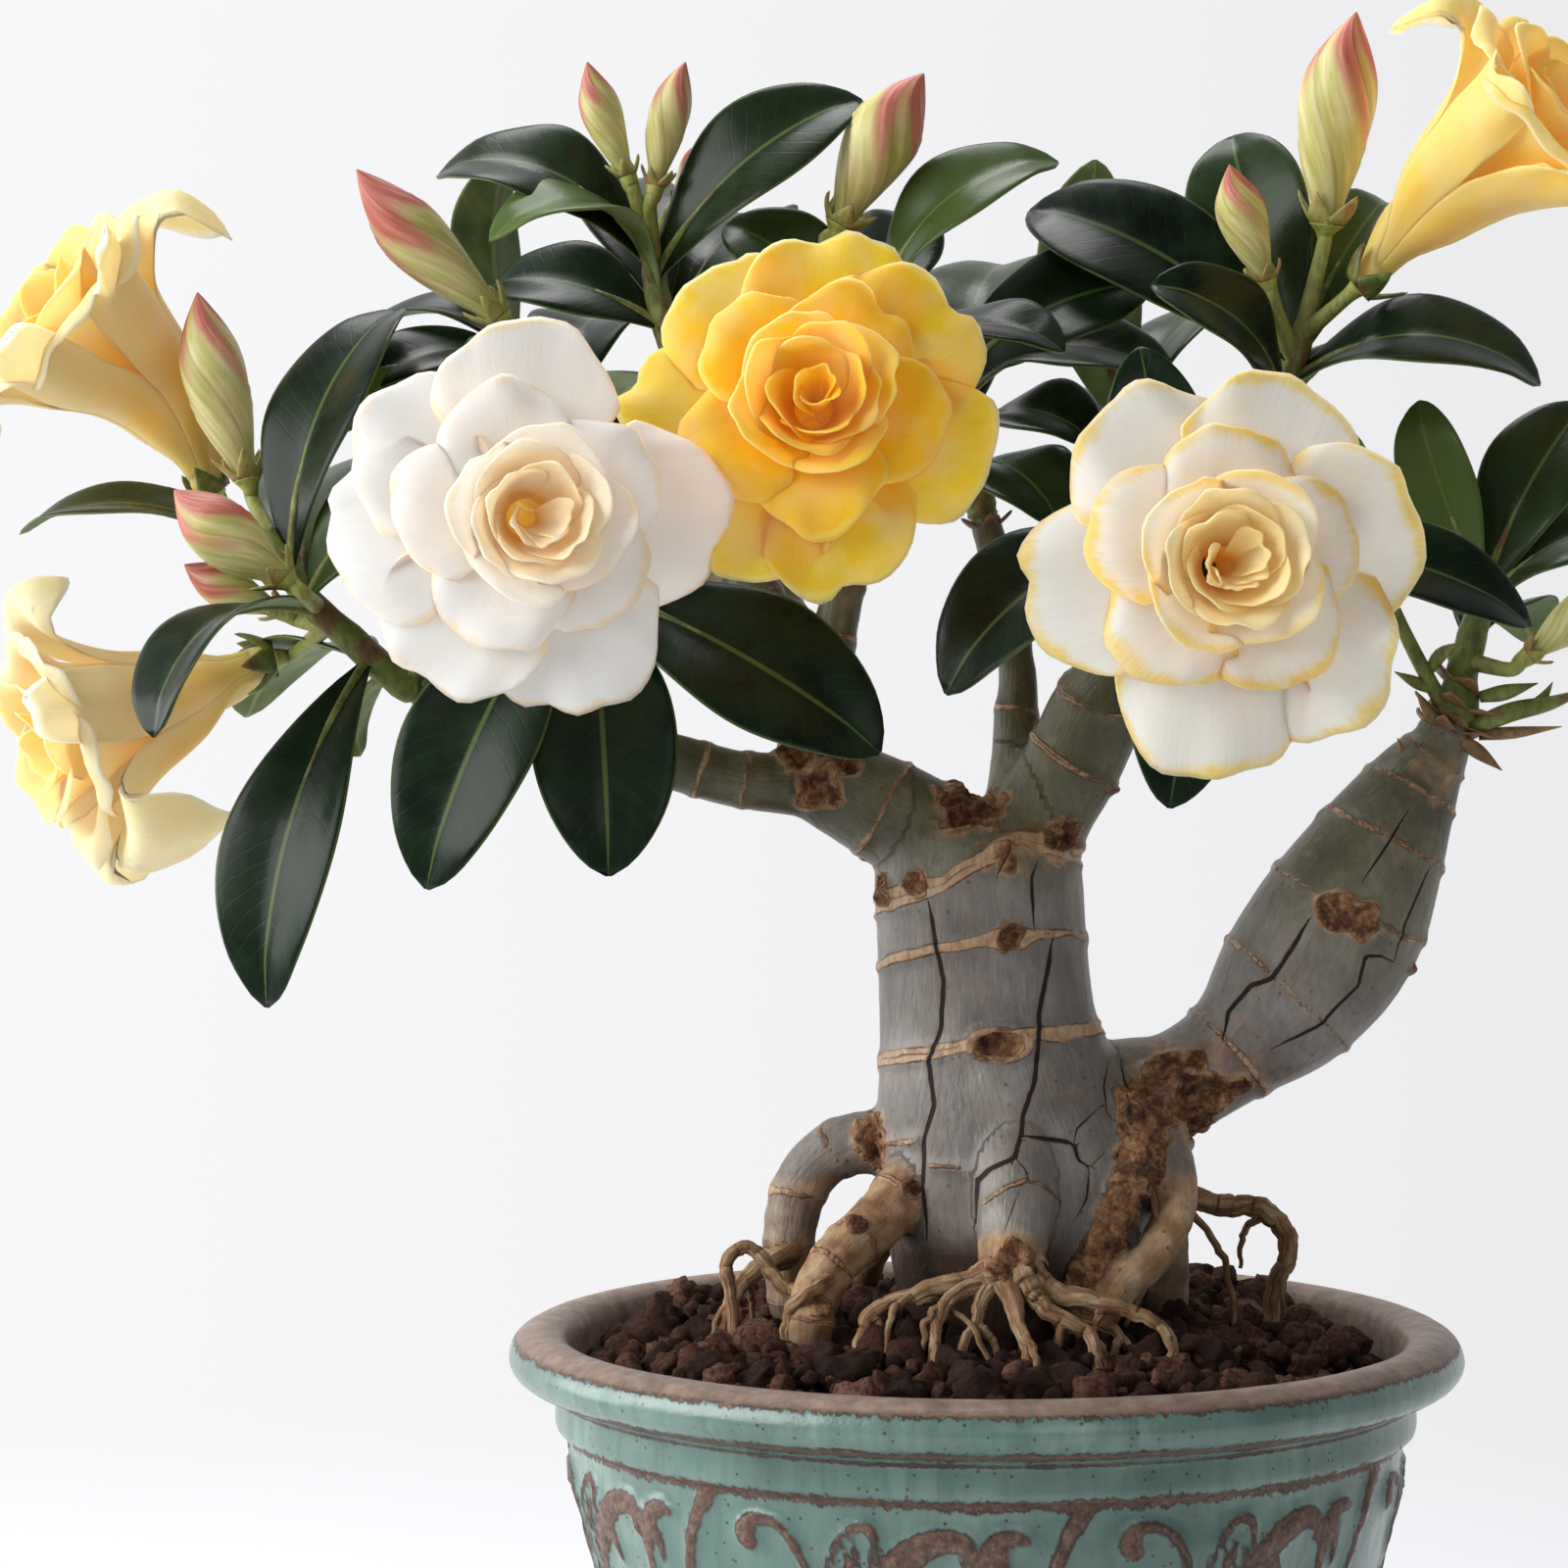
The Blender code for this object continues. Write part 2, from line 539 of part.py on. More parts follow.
BLOOMS = {
    "bloom_white_pink": dict(
        centre=(-87.5, -66, 303), look=(0, -1, 0.03), seat=(-83, -31, 300), rise=(0, -1, 0.05),
        throat=[(-18, 3.6), (-7, 5), (1.5, 8)], whorls=OPEN_ROSE, size=1.06,
        angles=[[90, 146, 186, 238, 292, 2], ring_of(5, 30), ring_of(3, 70), ring_of(3, 10)],
        colour=(0.85, 0.76, 0.66)),
    "bloom_yellow": dict(
        centre=(-34.5, -52, 323), look=(0, -1, 0.26), seat=(-25, -13, 330), rise=(-0.15, -1, -0.1),
        throat=[(-18, 3.6), (-7, 5), (1.5, 8)], whorls=OPEN_ROSE, size=1.03,
        angles=[[126, 80, 38, 346, 280, 236, 176], ring_of(5, 60), ring_of(3, 20), ring_of(3, 80)],
        colour=(0.86, 0.55, 0.08)),
    "bloom_white_gold": dict(
        centre=(40.5, -68, 294), look=(0, -1, 0.03), seat=(39, -33, 293), rise=(0, -1, 0),
        throat=[(-18, 3.6), (-7, 5), (1.5, 8)], whorls=OPEN_ROSE, size=1.09,
        angles=[[122, 66, 14, 316, 266, 188], ring_of(5, 15), ring_of(3, 50), ring_of(3, 0)],
        colour=(0.85, 0.74, 0.5)),
    "bloom_yellow_upper_left": dict(
        centre=(-180, 24, 340), look=(-0.72, -0.33, 0.6), seat=(-156, 29, 309), rise=(-0.6, -0.1, 0.8),
        throat=[(-27, 6.5), (-12, 12), (0, 18)], whorls=TRUMPET, size=1.2,
        angles=[ring_of(5, 20), ring_of(4, 56), ring_of(3, 0)],
        colour=(0.88, 0.62, 0.16)),
    "bloom_cream_lower_left": dict(
        centre=(-177, 6, 261), look=(-0.85, -0.4, -0.32), seat=(-143, 14, 275), rise=(-0.95, -0.1, -0.2),
        throat=[(-27, 6.5), (-12, 12), (0, 18)], whorls=TRUMPET, size=1.2,
        angles=[ring_of(5, 0), ring_of(4, 36), ring_of(3, 30)],
        colour=(0.88, 0.72, 0.32)),
    "bloom_yellow_upper_right": dict(
        centre=(103, -14, 378), look=(0.70, -0.42, 0.56), seat=(73.5, -1, 349), rise=(0.75, -0.1, 0.66),
        throat=[(-27, 6), (-12, 11.5), (0, 17)], whorls=TRUMPET, size=1.15,
        angles=[ring_of(5, 10), ring_of(4, 46), ring_of(3, 20)],
        colour=(0.88, 0.58, 0.12)),
}


# Buds: turned spindles, each on the cup of its stalk

BUDS = {
    # name: seat on the stalk, tip, greatest radius
    "bud_left_front": ((-136.5, -22.5, 291.5), (-157.5, -24, 308.5), 7.2),
    "bud_left_low": ((-140, 1, 285), (-158.5, 0, 294), 4.6),
    "bud_left_tall": ((-146.5, 6, 311), (-156.5, 8, 348), 7.4),
    "bud_back_left": ((-96.5, 8, 343), (-124.5, 4, 372), 7.4),
    "bud_top_left": ((-71, 8, 371), (-79, 8, 393.5), 4.4),
    "bud_top_middle": ((-65.5, 8, 369), (-59.5, 8, 393.5), 4.6),
    "bud_top_small": ((-61.5, 16, 366), (-54.5, 17, 379), 2.9),
    "bud_middle": ((-29, 2, 361), (-12.5, 0, 390.5), 8.6),
    "bud_right_small": ((55, 0, 350), (47.5, -2, 372.5), 5.6),
    "bud_right_tall": ((67, 2, 361), (72.5, 0, 403), 8.2),
    "bud_far_right": ((108, 4, 276), (126, 0, 289), 5),
}

BUD_PROFILE = [(0, 1), (0.55, 0.72), (1, 0.42), (0.72, 0.15), (0.4, 0), (0, 0)]
BUD_SIDES = 6


def make_bud(name, seat, tip, radius):
    seat, tip = Vector(seat), Vector(tip)
    rise = unit(tip - seat)
    length = (tip - seat).length - GAP
    bud = turned(name, [(r * radius, z * length) for r, z in BUD_PROFILE], BUD_SIDES)
    turn = rise.to_track_quat("Z", "Y").to_matrix().to_4x4()
    bud.data.transform(Matrix.Translation((seat + GAP * rise) * MM) @ turn)
    return finish(bud, name, (0.42, 0.44, 0.16), 0.5)


# Leafy stems: a soft stem from a woody end, its leaves, and the stalks of its blooms and buds

STEMS = {
    "leafy_stem_left_end": dict(
        branch="left_long", path=[(-122, -10, 277, 3), (-134, -8, 288, 2.7), (-141, -5, 299, 2.2)],
        stalks={"bloom_yellow_upper_left": 0.95, "bloom_cream_lower_left": 0.5, "bud_left_front": 0.6,
                "bud_left_low": 0.45, "bud_left_tall": 0.9},
        leaves=[
            # share along the stem, tip, width, arch, the way the upper side looks
            (0.55, (-160, -44, 262), 24, 11, (-0.5, -0.35, 0.8)),
            (0.25, (-140, -32, 209), 26, 9, (-0.5, -0.85, 0.1)),
            (0.75, (-192, 4, 301), 20, 10, (0, -0.3, 0.95)),
            (0.15, (-126, 16, 256), 14, 3, (-0.3, -0.4, 0.8)),
            (0.8, (-117, 16, 346), 25, 9, (-0.6, -0.75, 0.3)),
            (0.9, (-123, -13, 328), 14, 6, (-0.6, -0.5, 0.5)),
            (0.65, (-104, -12, 314), 22, 6, (-0.2, -0.7, 0.7)),
            (0.2, (-152, 50, 263), 24, 8, (-0.3, 0.5, 0.8)),
            (0.7, (-136, 52, 312), 24, 8, (-0.1, 0.6, 0.8)),
        ]),
    "leafy_stem_front_left": dict(
        branch="front_left", path=[(-77, -20, 289, 3), (-84, -24, 295, 2.4)],
        stalks={"bloom_white_pink": 0.9},
        leaves=[
            (0.7, (-108, -47, 233), 28, 8, (-0.3, -0.9, 0.4)),
            (0.5, (-73, -48, 235.5), 28, 7, (0.1, -0.95, 0.4)),
            (0.5, (-21.5, -44, 259), 29, 6, (0.2, -0.9, 0.45)),
            (0.9, (-118, -34, 290), 22, 7, (-0.2, -0.5, 0.85)),
            (0.8, (-100, -30, 338), 20, 5, (-0.3, -0.9, 0.3)),
            (0.6, (-62, -28, 330), 20, 5, (0.3, -0.9, 0.3)),
        ]),
    "leafy_stem_top_left": dict(
        branch="top_left", path=[(-61, 12, 333, 3), (-65, 12, 347, 2.6), (-66, 12, 354, 2.2)],
        stalks={"bud_top_left": 0.97, "bud_top_middle": 0.97, "bud_top_small": 0.9},
        leaves=[
            (0.95, (-110, 20, 373), 24, 12, (-0.1, -0.6, 0.85)),
            (0.8, (-98, -8, 358), 22, 13, (0.05, -0.3, 0.95)),
            (0.6, (-100, 24, 350), 22, 6, (-0.2, -0.6, 0.8)),
            (0.9, (-24.5, 5, 386.5), 25, 8, (-0.5, -0.75, 0.45)),
            (0.7, (-78, 62, 372), 24, 8, (-0.2, 0.5, 0.85)),
            (0.5, (-40, 58, 366), 24, 8, (0.2, 0.5, 0.85)),
        ]),
    "leafy_stem_middle": dict(
        branch="middle", path=[(-22, 5, 323, 3), (-21, 4, 337, 2.6), (-21, 3, 345, 2.2)],
        stalks={"bloom_yellow": 0.55, "bud_middle": 0.95},
        leaves=[
            (0.9, (-16, 30, 366), 20, 2, (0, -0.8, 0.5)),
            (0.95, (14, -2, 374), 22, 10, (0, -0.55, 0.85)),
            (0.8, (-52, 8, 362), 19, 5, (-0.2, -0.7, 0.6)),
            (0.6, (14, -26, 336), 20, 7, (0.1, -0.5, 0.85)),
            (0.4, (-58, -10, 318), 20, 6, (-0.1, -0.6, 0.8)),
            (0.5, (-24, 58, 346), 24, 9, (0, 0.4, 0.9)),
        ]),
    "leafy_stem_centre": dict(
        branch="centre", path=[(-3, 18, 313, 3), (-5, 19, 324, 2.6), (-5, 19, 332, 2.2)],
        stalks={},
        leaves=[
            (0.95, (33, 11, 350), 26, 7, (-0.1, -0.75, 0.65)),
            (0.8, (38, 0, 330), 24, 10, (0.1, -0.5, 0.85)),
            (0.5, (21, -10, 318), 22, 7, (0.1, -0.6, 0.8)),
            (0.3, (14, -16, 302), 22, 6, (0.1, -0.7, 0.7)),
            (0.6, (-12, 74, 330), 25, 9, (0, 0.4, 0.9)),
            (0.9, (8, 62, 356), 24, 8, (0.1, 0.4, 0.9)),
        ]),
    "leafy_stem_right": dict(
        branch="right_up", path=[(56, 6, 318, 3), (60, 6, 330, 2.7), (63, 5, 341, 2.2)],
        stalks={"bloom_yellow_upper_right": 0.95, "bud_right_small": 0.8, "bud_right_tall": 0.98},
        leaves=[
            (0.8, (9, 25, 366), 27, 9, (-0.1, -0.75, 0.6)),
            (0.5, (31.5, -15, 349), 22, 8, (-0.1, -0.7, 0.7)),
            (0.85, (50, 26, 381), 25, 5, (-0.3, -0.9, 0.2)),
            (0.95, (82, 26, 368), 20, 6, (0, -0.8, 0.5)),
            (0.65, (109, -6, 330), 25, 11, (0, -0.55, 0.85)),
            (0.5, (98, 34, 338), 25, 8, (0.2, 0.3, 0.9)),
            (0.75, (74, 66, 352), 25, 9, (0.1, 0.4, 0.9)),
        ]),
    "leafy_stem_front_right": dict(
        branch="right", path=[(35, -15, 289, 2.8), (38, -19, 294, 2.3)],
        stalks={"bloom_white_gold": 0.9},
        leaves=[
            (0.9, (-10, -42, 270), 29, 13, (-0.5, -0.7, 0.55)),
            (0.5, (33.5, -41, 248), 22, 6, (0.2, -0.95, 0.35)),
            (0.9, (104, -30, 283), 22, 11, (0.1, -0.7, 0.7)),
            (0.8, (28, -30, 336), 20, 5, (-0.1, -0.9, 0.3)),
            (0.7, (64, -36, 262), 22, 7, (0.3, -0.7, 0.6)),
        ]),
    "leafy_stem_side_branch": dict(
        branch="swollen", path=[(95.5, 12.5, 271, 3.4), (98, 12.5, 281, 2.8), (101, 12.5, 292, 2.4)],
        stalks={"bud_far_right": 0.4},
        leaves=[
            (0.9, (86.5, 14, 327), 16, 4, (-0.5, -0.8, 0.2)),
            (0.85, (122, 20, 327), 22, 5, (-0.4, -0.8, 0.4)),
            (0.7, (134, 8, 302), 20, 7, (0, -0.5, 0.85)),
            (0.5, (116, 50, 278), 20, 7, (0.1, 0.4, 0.9)),
            (0.8, (103, 52, 312), 20, 6, (0, 0.5, 0.85)),
        ]),
    "leafy_stem_back_left": dict(
        branch="back_left", path=[(-86, 32, 323, 3), (-92, 33, 332, 2.4)],
        stalks={"bud_back_left": 0.9},
        leaves=[
            (0.8, (-125, 8, 329), 20, 9, (0, -0.5, 0.85)),
            (0.9, (-128, 34, 340), 22, 10, (-0.1, -0.2, 0.95)),
            (0.6, (-104, 84, 316), 25, 9, (-0.1, 0.4, 0.9)),
            (0.5, (-76, 72, 344), 24, 9, (0.1, 0.4, 0.9)),
            (0.95, (-98, 50, 378), 22, 6, (-0.5, 0.5, 0.5)),
        ]),
    "leafy_stem_back": dict(
        branch="back", path=[(-50, 50, 320, 3), (-50, 54, 330, 2.4)],
        stalks={},
        leaves=[
            (0.5, (-78, 98, 328), 24, 9, (-0.2, 0.3, 0.9)),
            (0.7, (-44, 112, 322), 26, 10, (0, 0.4, 0.9)),
            (0.6, (-10, 94, 344), 24, 9, (0.2, 0.3, 0.9)),
            (0.3, (-66, 90, 286), 25, 8, (-0.2, 0.6, 0.7)),
        ]),
    "leafy_stem_back_right": dict(
        branch="back_right", path=[(32, 50, 313, 3), (32, 55, 322, 2.4)],
        stalks={},
        leaves=[
            (0.9, (60, 88, 350), 24, 8, (0.1, 0.3, 0.9)),
            (0.7, (30, 112, 322), 26, 10, (0, 0.4, 0.9)),
            (0.6, (84, 70, 314), 25, 9, (0.2, 0.2, 0.9)),
            (0.9, (24, 56, 378), 24, 6, (-0.3, 0.5, 0.5)),
            (0.3, (54, 90, 280), 25, 8, (0.2, 0.6, 0.7)),
        ]),
}


def along_path(path, share):
    """The point at a share of the path's length."""
    spans = [(path[i + 1] - path[i]).length for i in range(len(path) - 1)]
    left = share * sum(spans)
    for start, stop, span in zip(path, path[1:], spans):
        if left <= span:
            return start.lerp(stop, left / span)
        left -= span
    return path[-1]


def stalk_seat(name):
    """Where a bloom or bud sits, and the direction in which it leaves its stalk."""
    if name in BLOOMS:
        return Vector(BLOOMS[name]["seat"]), unit(BLOOMS[name]["rise"])
    seat, tip, _ = BUDS[name]
    return Vector(seat), unit(Vector(tip) - Vector(seat))


def make_stem(name, plan):
    stop, direction = branch_end(plan["branch"])
    foot = stop + GAP * direction
    radius = BRANCHES[plan["branch"]][-1][3] - 0.2
    spots = [(*foot, radius), (*(foot + 3 * direction), radius), *plan["path"]]
    pieces = [tube("stem", spots, 6, 1)]
    path = [Vector(spot).xyz for spot in spots]
    for flower, share in plan["stalks"].items():
        seat, rise = stalk_seat(flower)
        start = along_path(path, share)
        cup = 2.7 if flower in BLOOMS else 0.45 * BUDS[flower][2]
        pieces.append(tube("stalk", [(*start, 1.4), (*(seat - 5 * rise), 1.2),
                                     (*(seat - 2 * rise), 1.5), (*seat, cup)], 4, 1))
    for share, tip, width, arch, face in plan["leaves"]:
        pieces.append(leaf(along_path(path, share), tip, width, arch, face))
    return finish(fuse(name, pieces), name, (0.035, 0.075, 0.03), 0.35)


# Build

for old in list(bpy.data.objects):
    bpy.data.objects.remove(old)

plant = bpy.data.collections.new("potted_desert_rose")
cutters = bpy.data.collections.new("cutters")
work = bpy.data.collections.new("work")
for group in (plant, cutters, work):
    bpy.context.scene.collection.children.link(group)

make_pot()
make_soil(make_caudex())
for bloom_name, bloom_plan in BLOOMS.items():
    make_bloom(bloom_name, bloom_plan, bloom_plan["colour"])
for bud_name, bud_sizes in BUDS.items():
    make_bud(bud_name, *bud_sizes)
for stem_name, stem_plan in STEMS.items():
    make_stem(stem_name, stem_plan)
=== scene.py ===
# Potted desert rose: petals, leaves, bark, stones and glaze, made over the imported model.
# Places and sizes in the settings are in millimetres, and mm turns them into the scene's metres.

import math

import bpy
import numpy as np
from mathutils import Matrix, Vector, noise


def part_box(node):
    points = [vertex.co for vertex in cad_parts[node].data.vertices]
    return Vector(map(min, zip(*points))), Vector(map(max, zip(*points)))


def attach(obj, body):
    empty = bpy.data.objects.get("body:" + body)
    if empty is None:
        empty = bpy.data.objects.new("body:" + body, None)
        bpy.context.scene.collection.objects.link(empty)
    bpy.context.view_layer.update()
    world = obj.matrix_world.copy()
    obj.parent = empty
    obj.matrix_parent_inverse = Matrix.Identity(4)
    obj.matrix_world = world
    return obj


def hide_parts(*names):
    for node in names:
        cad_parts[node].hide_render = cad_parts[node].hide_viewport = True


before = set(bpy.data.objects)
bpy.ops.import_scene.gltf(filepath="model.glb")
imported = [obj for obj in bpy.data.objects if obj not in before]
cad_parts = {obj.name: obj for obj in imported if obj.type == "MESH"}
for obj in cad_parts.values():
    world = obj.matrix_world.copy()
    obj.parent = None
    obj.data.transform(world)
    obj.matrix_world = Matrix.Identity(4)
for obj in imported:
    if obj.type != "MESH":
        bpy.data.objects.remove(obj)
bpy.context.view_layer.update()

mm = 0.001
potHigh = np.array(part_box("pot")[1]) / mm
rimRadius, rimHeight = float(potHigh[0]), float(potHigh[2])
print("frame loaded, pot rim", round(2 * rimRadius), "mm across")


# Small helpers for shapes

def unit(vectors):
    vectors = np.asarray(vectors, float)
    return vectors / np.maximum(np.linalg.norm(vectors, axis=-1, keepdims=True), 1e-9)


def ease(low, high, value):  # 0 at low, 1 at high, smooth between
    share = np.clip((np.asarray(value, float) - low) / (high - low), 0, 1)
    return share * share * (3 - 2 * share)


def smoothPath(points, steps):  # a Catmull-Rom curve through rows of numbers
    points = np.array(points, float)
    ends = np.vstack([2 * points[0] - points[1], points, 2 * points[-1] - points[-2]])
    t = (np.arange(steps) / steps)[:, None]
    runs = []
    for i in range(1, len(points)):
        before, start, stop, after = ends[i - 1:i + 3]
        runs.append(0.5 * (2 * start + (stop - before) * t
                           + (2 * before - 5 * start + 4 * stop - after) * t ** 2
                           + (3 * start - before - 3 * stop + after) * t ** 3))
    return np.vstack(runs + [points[-1:]])


def arcLengths(points):  # how far along the line each of its points is
    return np.concatenate([[0], np.cumsum(np.linalg.norm(np.diff(points, axis=0), axis=1))])


def placeAlong(path, share):  # the place at a share of the path's length
    arc = arcLengths(path)
    return np.array([np.interp(share * arc[-1], arc, path[:, axis]) for axis in range(3)])


def grain(points, size, seed=0, octaves=3):  # fractal noise, about -1 to 1, at points in mm
    shift = Vector((seed * 13.7, seed * 7.1, seed * 3.3))
    return np.array([noise.fractal(Vector(point) / size + shift, 1.0, 2.0, octaves) for point in points])


def blocks(count, size=8000):  # slices that keep a table of distances small
    return [slice(start, start + size) for start in range(0, count, size)]


def both(values):  # the same numbers for a sheet's two sides
    return np.tile(values.ravel(), 2)


def show(name, data):  # a new object in the scene
    obj = bpy.data.objects.new(name, data)
    bpy.context.scene.collection.objects.link(obj)
    return obj


def addMark(mesh, name, values):  # a number kept at each vertex, for the materials
    mesh.attributes.new(name, "FLOAT", "POINT").data.foreach_set("value", values.astype(np.float32))


def workedOut(obj, helpers=()):  # the mesh that the object's modifiers make; the objects are removed
    bpy.context.view_layer.update()
    mesh = bpy.data.meshes.new_from_object(obj.evaluated_get(bpy.context.evaluated_depsgraph_get()))
    for old in (obj, *helpers):
        bpy.data.objects.remove(old)
    return mesh


def readRows(mesh, key):  # a row of three numbers for each vertex
    rows = np.empty(len(mesh.vertices) * 3)
    mesh.vertices.foreach_get(key, rows)
    return rows.reshape(-1, 3)


def readFaces(mesh):
    return np.array([face.vertices[:] for face in mesh.polygons])


class Parts:  # gathers many small closed bodies, with their marks, into one mesh
    def __init__(self):
        self.verts, self.faces, self.slots, self.marks, self.count = [], [], [], {}, 0

    def add(self, verts, faceLists, slot=0, **marks):
        for name in set(marks) | set(self.marks):
            if name not in self.marks:
                self.marks[name] = [np.zeros(self.count)]
            self.marks[name].append(np.broadcast_to(marks.get(name, 0.0), (len(verts),)))
        for faces in faceLists:
            self.faces += (np.asarray(faces) + self.count).tolist()
            self.slots += [slot] * len(faces)
        self.verts.append(np.asarray(verts, float))
        self.count += len(verts)

    def addSweep(self, path, sides, slot, along, young=(0, 0), swell=1.0):
        # a round body; along and young are its marks at the path's start and at its end
        verts, faceLists, share, _ = sweep(path, sides, swell)
        self.add(verts, faceLists, slot, along=along[0] + (along[1] - along[0]) * share,
                 young=young[0] + (young[1] - young[0]) * share)

    def piece(self, name, *materials):
        mesh = bpy.data.meshes.new(name)
        mesh.from_pydata((np.vstack(self.verts) * mm).tolist(), [], self.faces)
        for markName, values in self.marks.items():
            addMark(mesh, markName, np.concatenate(values))
        for material in materials:
            mesh.materials.append(material)
        mesh.polygons.foreach_set("material_index", self.slots)
        mesh.shade_smooth()
        return show(name, mesh)


def settle(piece, node):  # the piece rides on the one body and stands for the node
    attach(piece, "root")
    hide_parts(node)
    print("   ", piece.name, sum(len(face.vertices) - 2 for face in piece.data.polygons), "triangles")


def sheet(points, thickness, tuck=0.2):
    # a closed blade from a grid of points: upper side, under side and a thin rim; says which side is which
    rows, columns = points.shape[:2]
    normals = unit(np.cross(np.gradient(points, axis=0), np.gradient(points, axis=1)))
    half = np.full((rows, columns, 1), thickness / 2)
    half[[0, -1]] *= tuck
    half[:, [0, -1]] *= tuck
    count = rows * columns
    verts = np.vstack([(points + normals * half).reshape(-1, 3), (points - normals * half).reshape(-1, 3)])
    index = np.arange(count).reshape(rows, columns)
    quads = np.stack([index[:-1, :-1], index[1:, :-1], index[1:, 1:], index[:-1, 1:]], -1).reshape(-1, 4)
    loop = np.concatenate([index[:, 0], index[-1, 1:], index[-2::-1, -1], index[0, -2:0:-1]])
    after = np.roll(loop, -1)
    rim = np.stack([after, loop, loop + count, after + count], -1)
    return verts, [quads, quads[:, ::-1] + count, rim], np.repeat([0.0, 1.0], count)


def sweep(path, sides, swell=1.0):
    # a closed round body along points (x, y, z, radius); swell scales the radius by row and side
    path = np.asarray(path, float)
    spine, rows = path[:, :3], len(path)
    along = unit(np.gradient(spine, axis=0))
    across, kept = unit(np.cross(along[0], (0.31, 0.83, 0.46))), []
    for direction in along:
        across = unit(across - direction * (across @ direction))
        kept.append(across)
    across = np.array(kept)
    angles = np.arange(sides) * math.tau / sides
    ring = (across[:, None] * np.cos(angles)[None, :, None]
            + np.cross(along, across)[:, None] * np.sin(angles)[None, :, None])
    reach = np.broadcast_to(path[:, 3:4] * swell, (rows, sides))
    verts = (spine[:, None] + ring * reach[..., None]).reshape(-1, 3)
    verts = np.vstack([verts, spine[:1], spine[-1:]])
    index = np.arange(rows * sides).reshape(rows, sides)
    turned = np.roll(index, -1, axis=1)
    quads = np.stack([index[:-1], turned[:-1], turned[1:], index[1:]], -1).reshape(-1, 4)
    first, last = rows * sides, rows * sides + 1
    caps = ([(first, turned[0, j], index[0, j]) for j in range(sides)]
            + [(last, index[-1, j], turned[-1, j]) for j in range(sides)])
    share = np.repeat(np.linspace(0, 1, rows), sides)
    return verts, [quads, caps], np.append(share, [0.0, 1.0]), np.append(np.tile(angles, rows), [0.0, 0.0])


# Small helpers for materials

def tint(red, green, blue):  # a colour as a picture shows it, 0 to 255, made linear
    return tuple((c / 255 / 12.92) if c < 11 else ((c / 255 + 0.055) / 1.055) ** 2.4
                 for c in (red, green, blue)) + (1,)


class Value:  # what comes out of a material's node, so that plain sums can be written with it
    def __init__(self, finish, socket):
        self.finish, self.socket = finish, socket

    def __add__(self, other):
        return self.finish.math("ADD", self, other)

    def __sub__(self, other):
        return self.finish.math("SUBTRACT", self, other)

    def __rsub__(self, other):
        return self.finish.math("SUBTRACT", other, self)

    def __mul__(self, other):
        return self.finish.math("MULTIPLY", self, other)

    def __abs__(self):
        return self.finish.math("ABSOLUTE", self)

    def larger(self, other):
        return self.finish.math("MAXIMUM", self, other)

    def smaller(self, other):
        return self.finish.math("MINIMUM", self, other)

    def fade(self, low, high, start=0.0, stop=1.0):  # smooth from start at low to stop at high
        settings = {"Value": self, "From Min": low, "From Max": high, "To Min": start, "To Max": stop}
        return self.finish.value("MapRange", "Result", settings, interpolation_type="SMOOTHSTEP")

    def ramp(self, *stops):  # stops are (position, red, green, blue)
        colour = self.finish.value("ValToRGB", "Color", {"Fac": self})
        elements = colour.socket.node.color_ramp.elements
        while len(elements) < len(stops):
            elements.new(0.5)
        for element, (position, *shade) in zip(elements, stops):
            element.position, element.color = position, tint(*shade)
        return colour


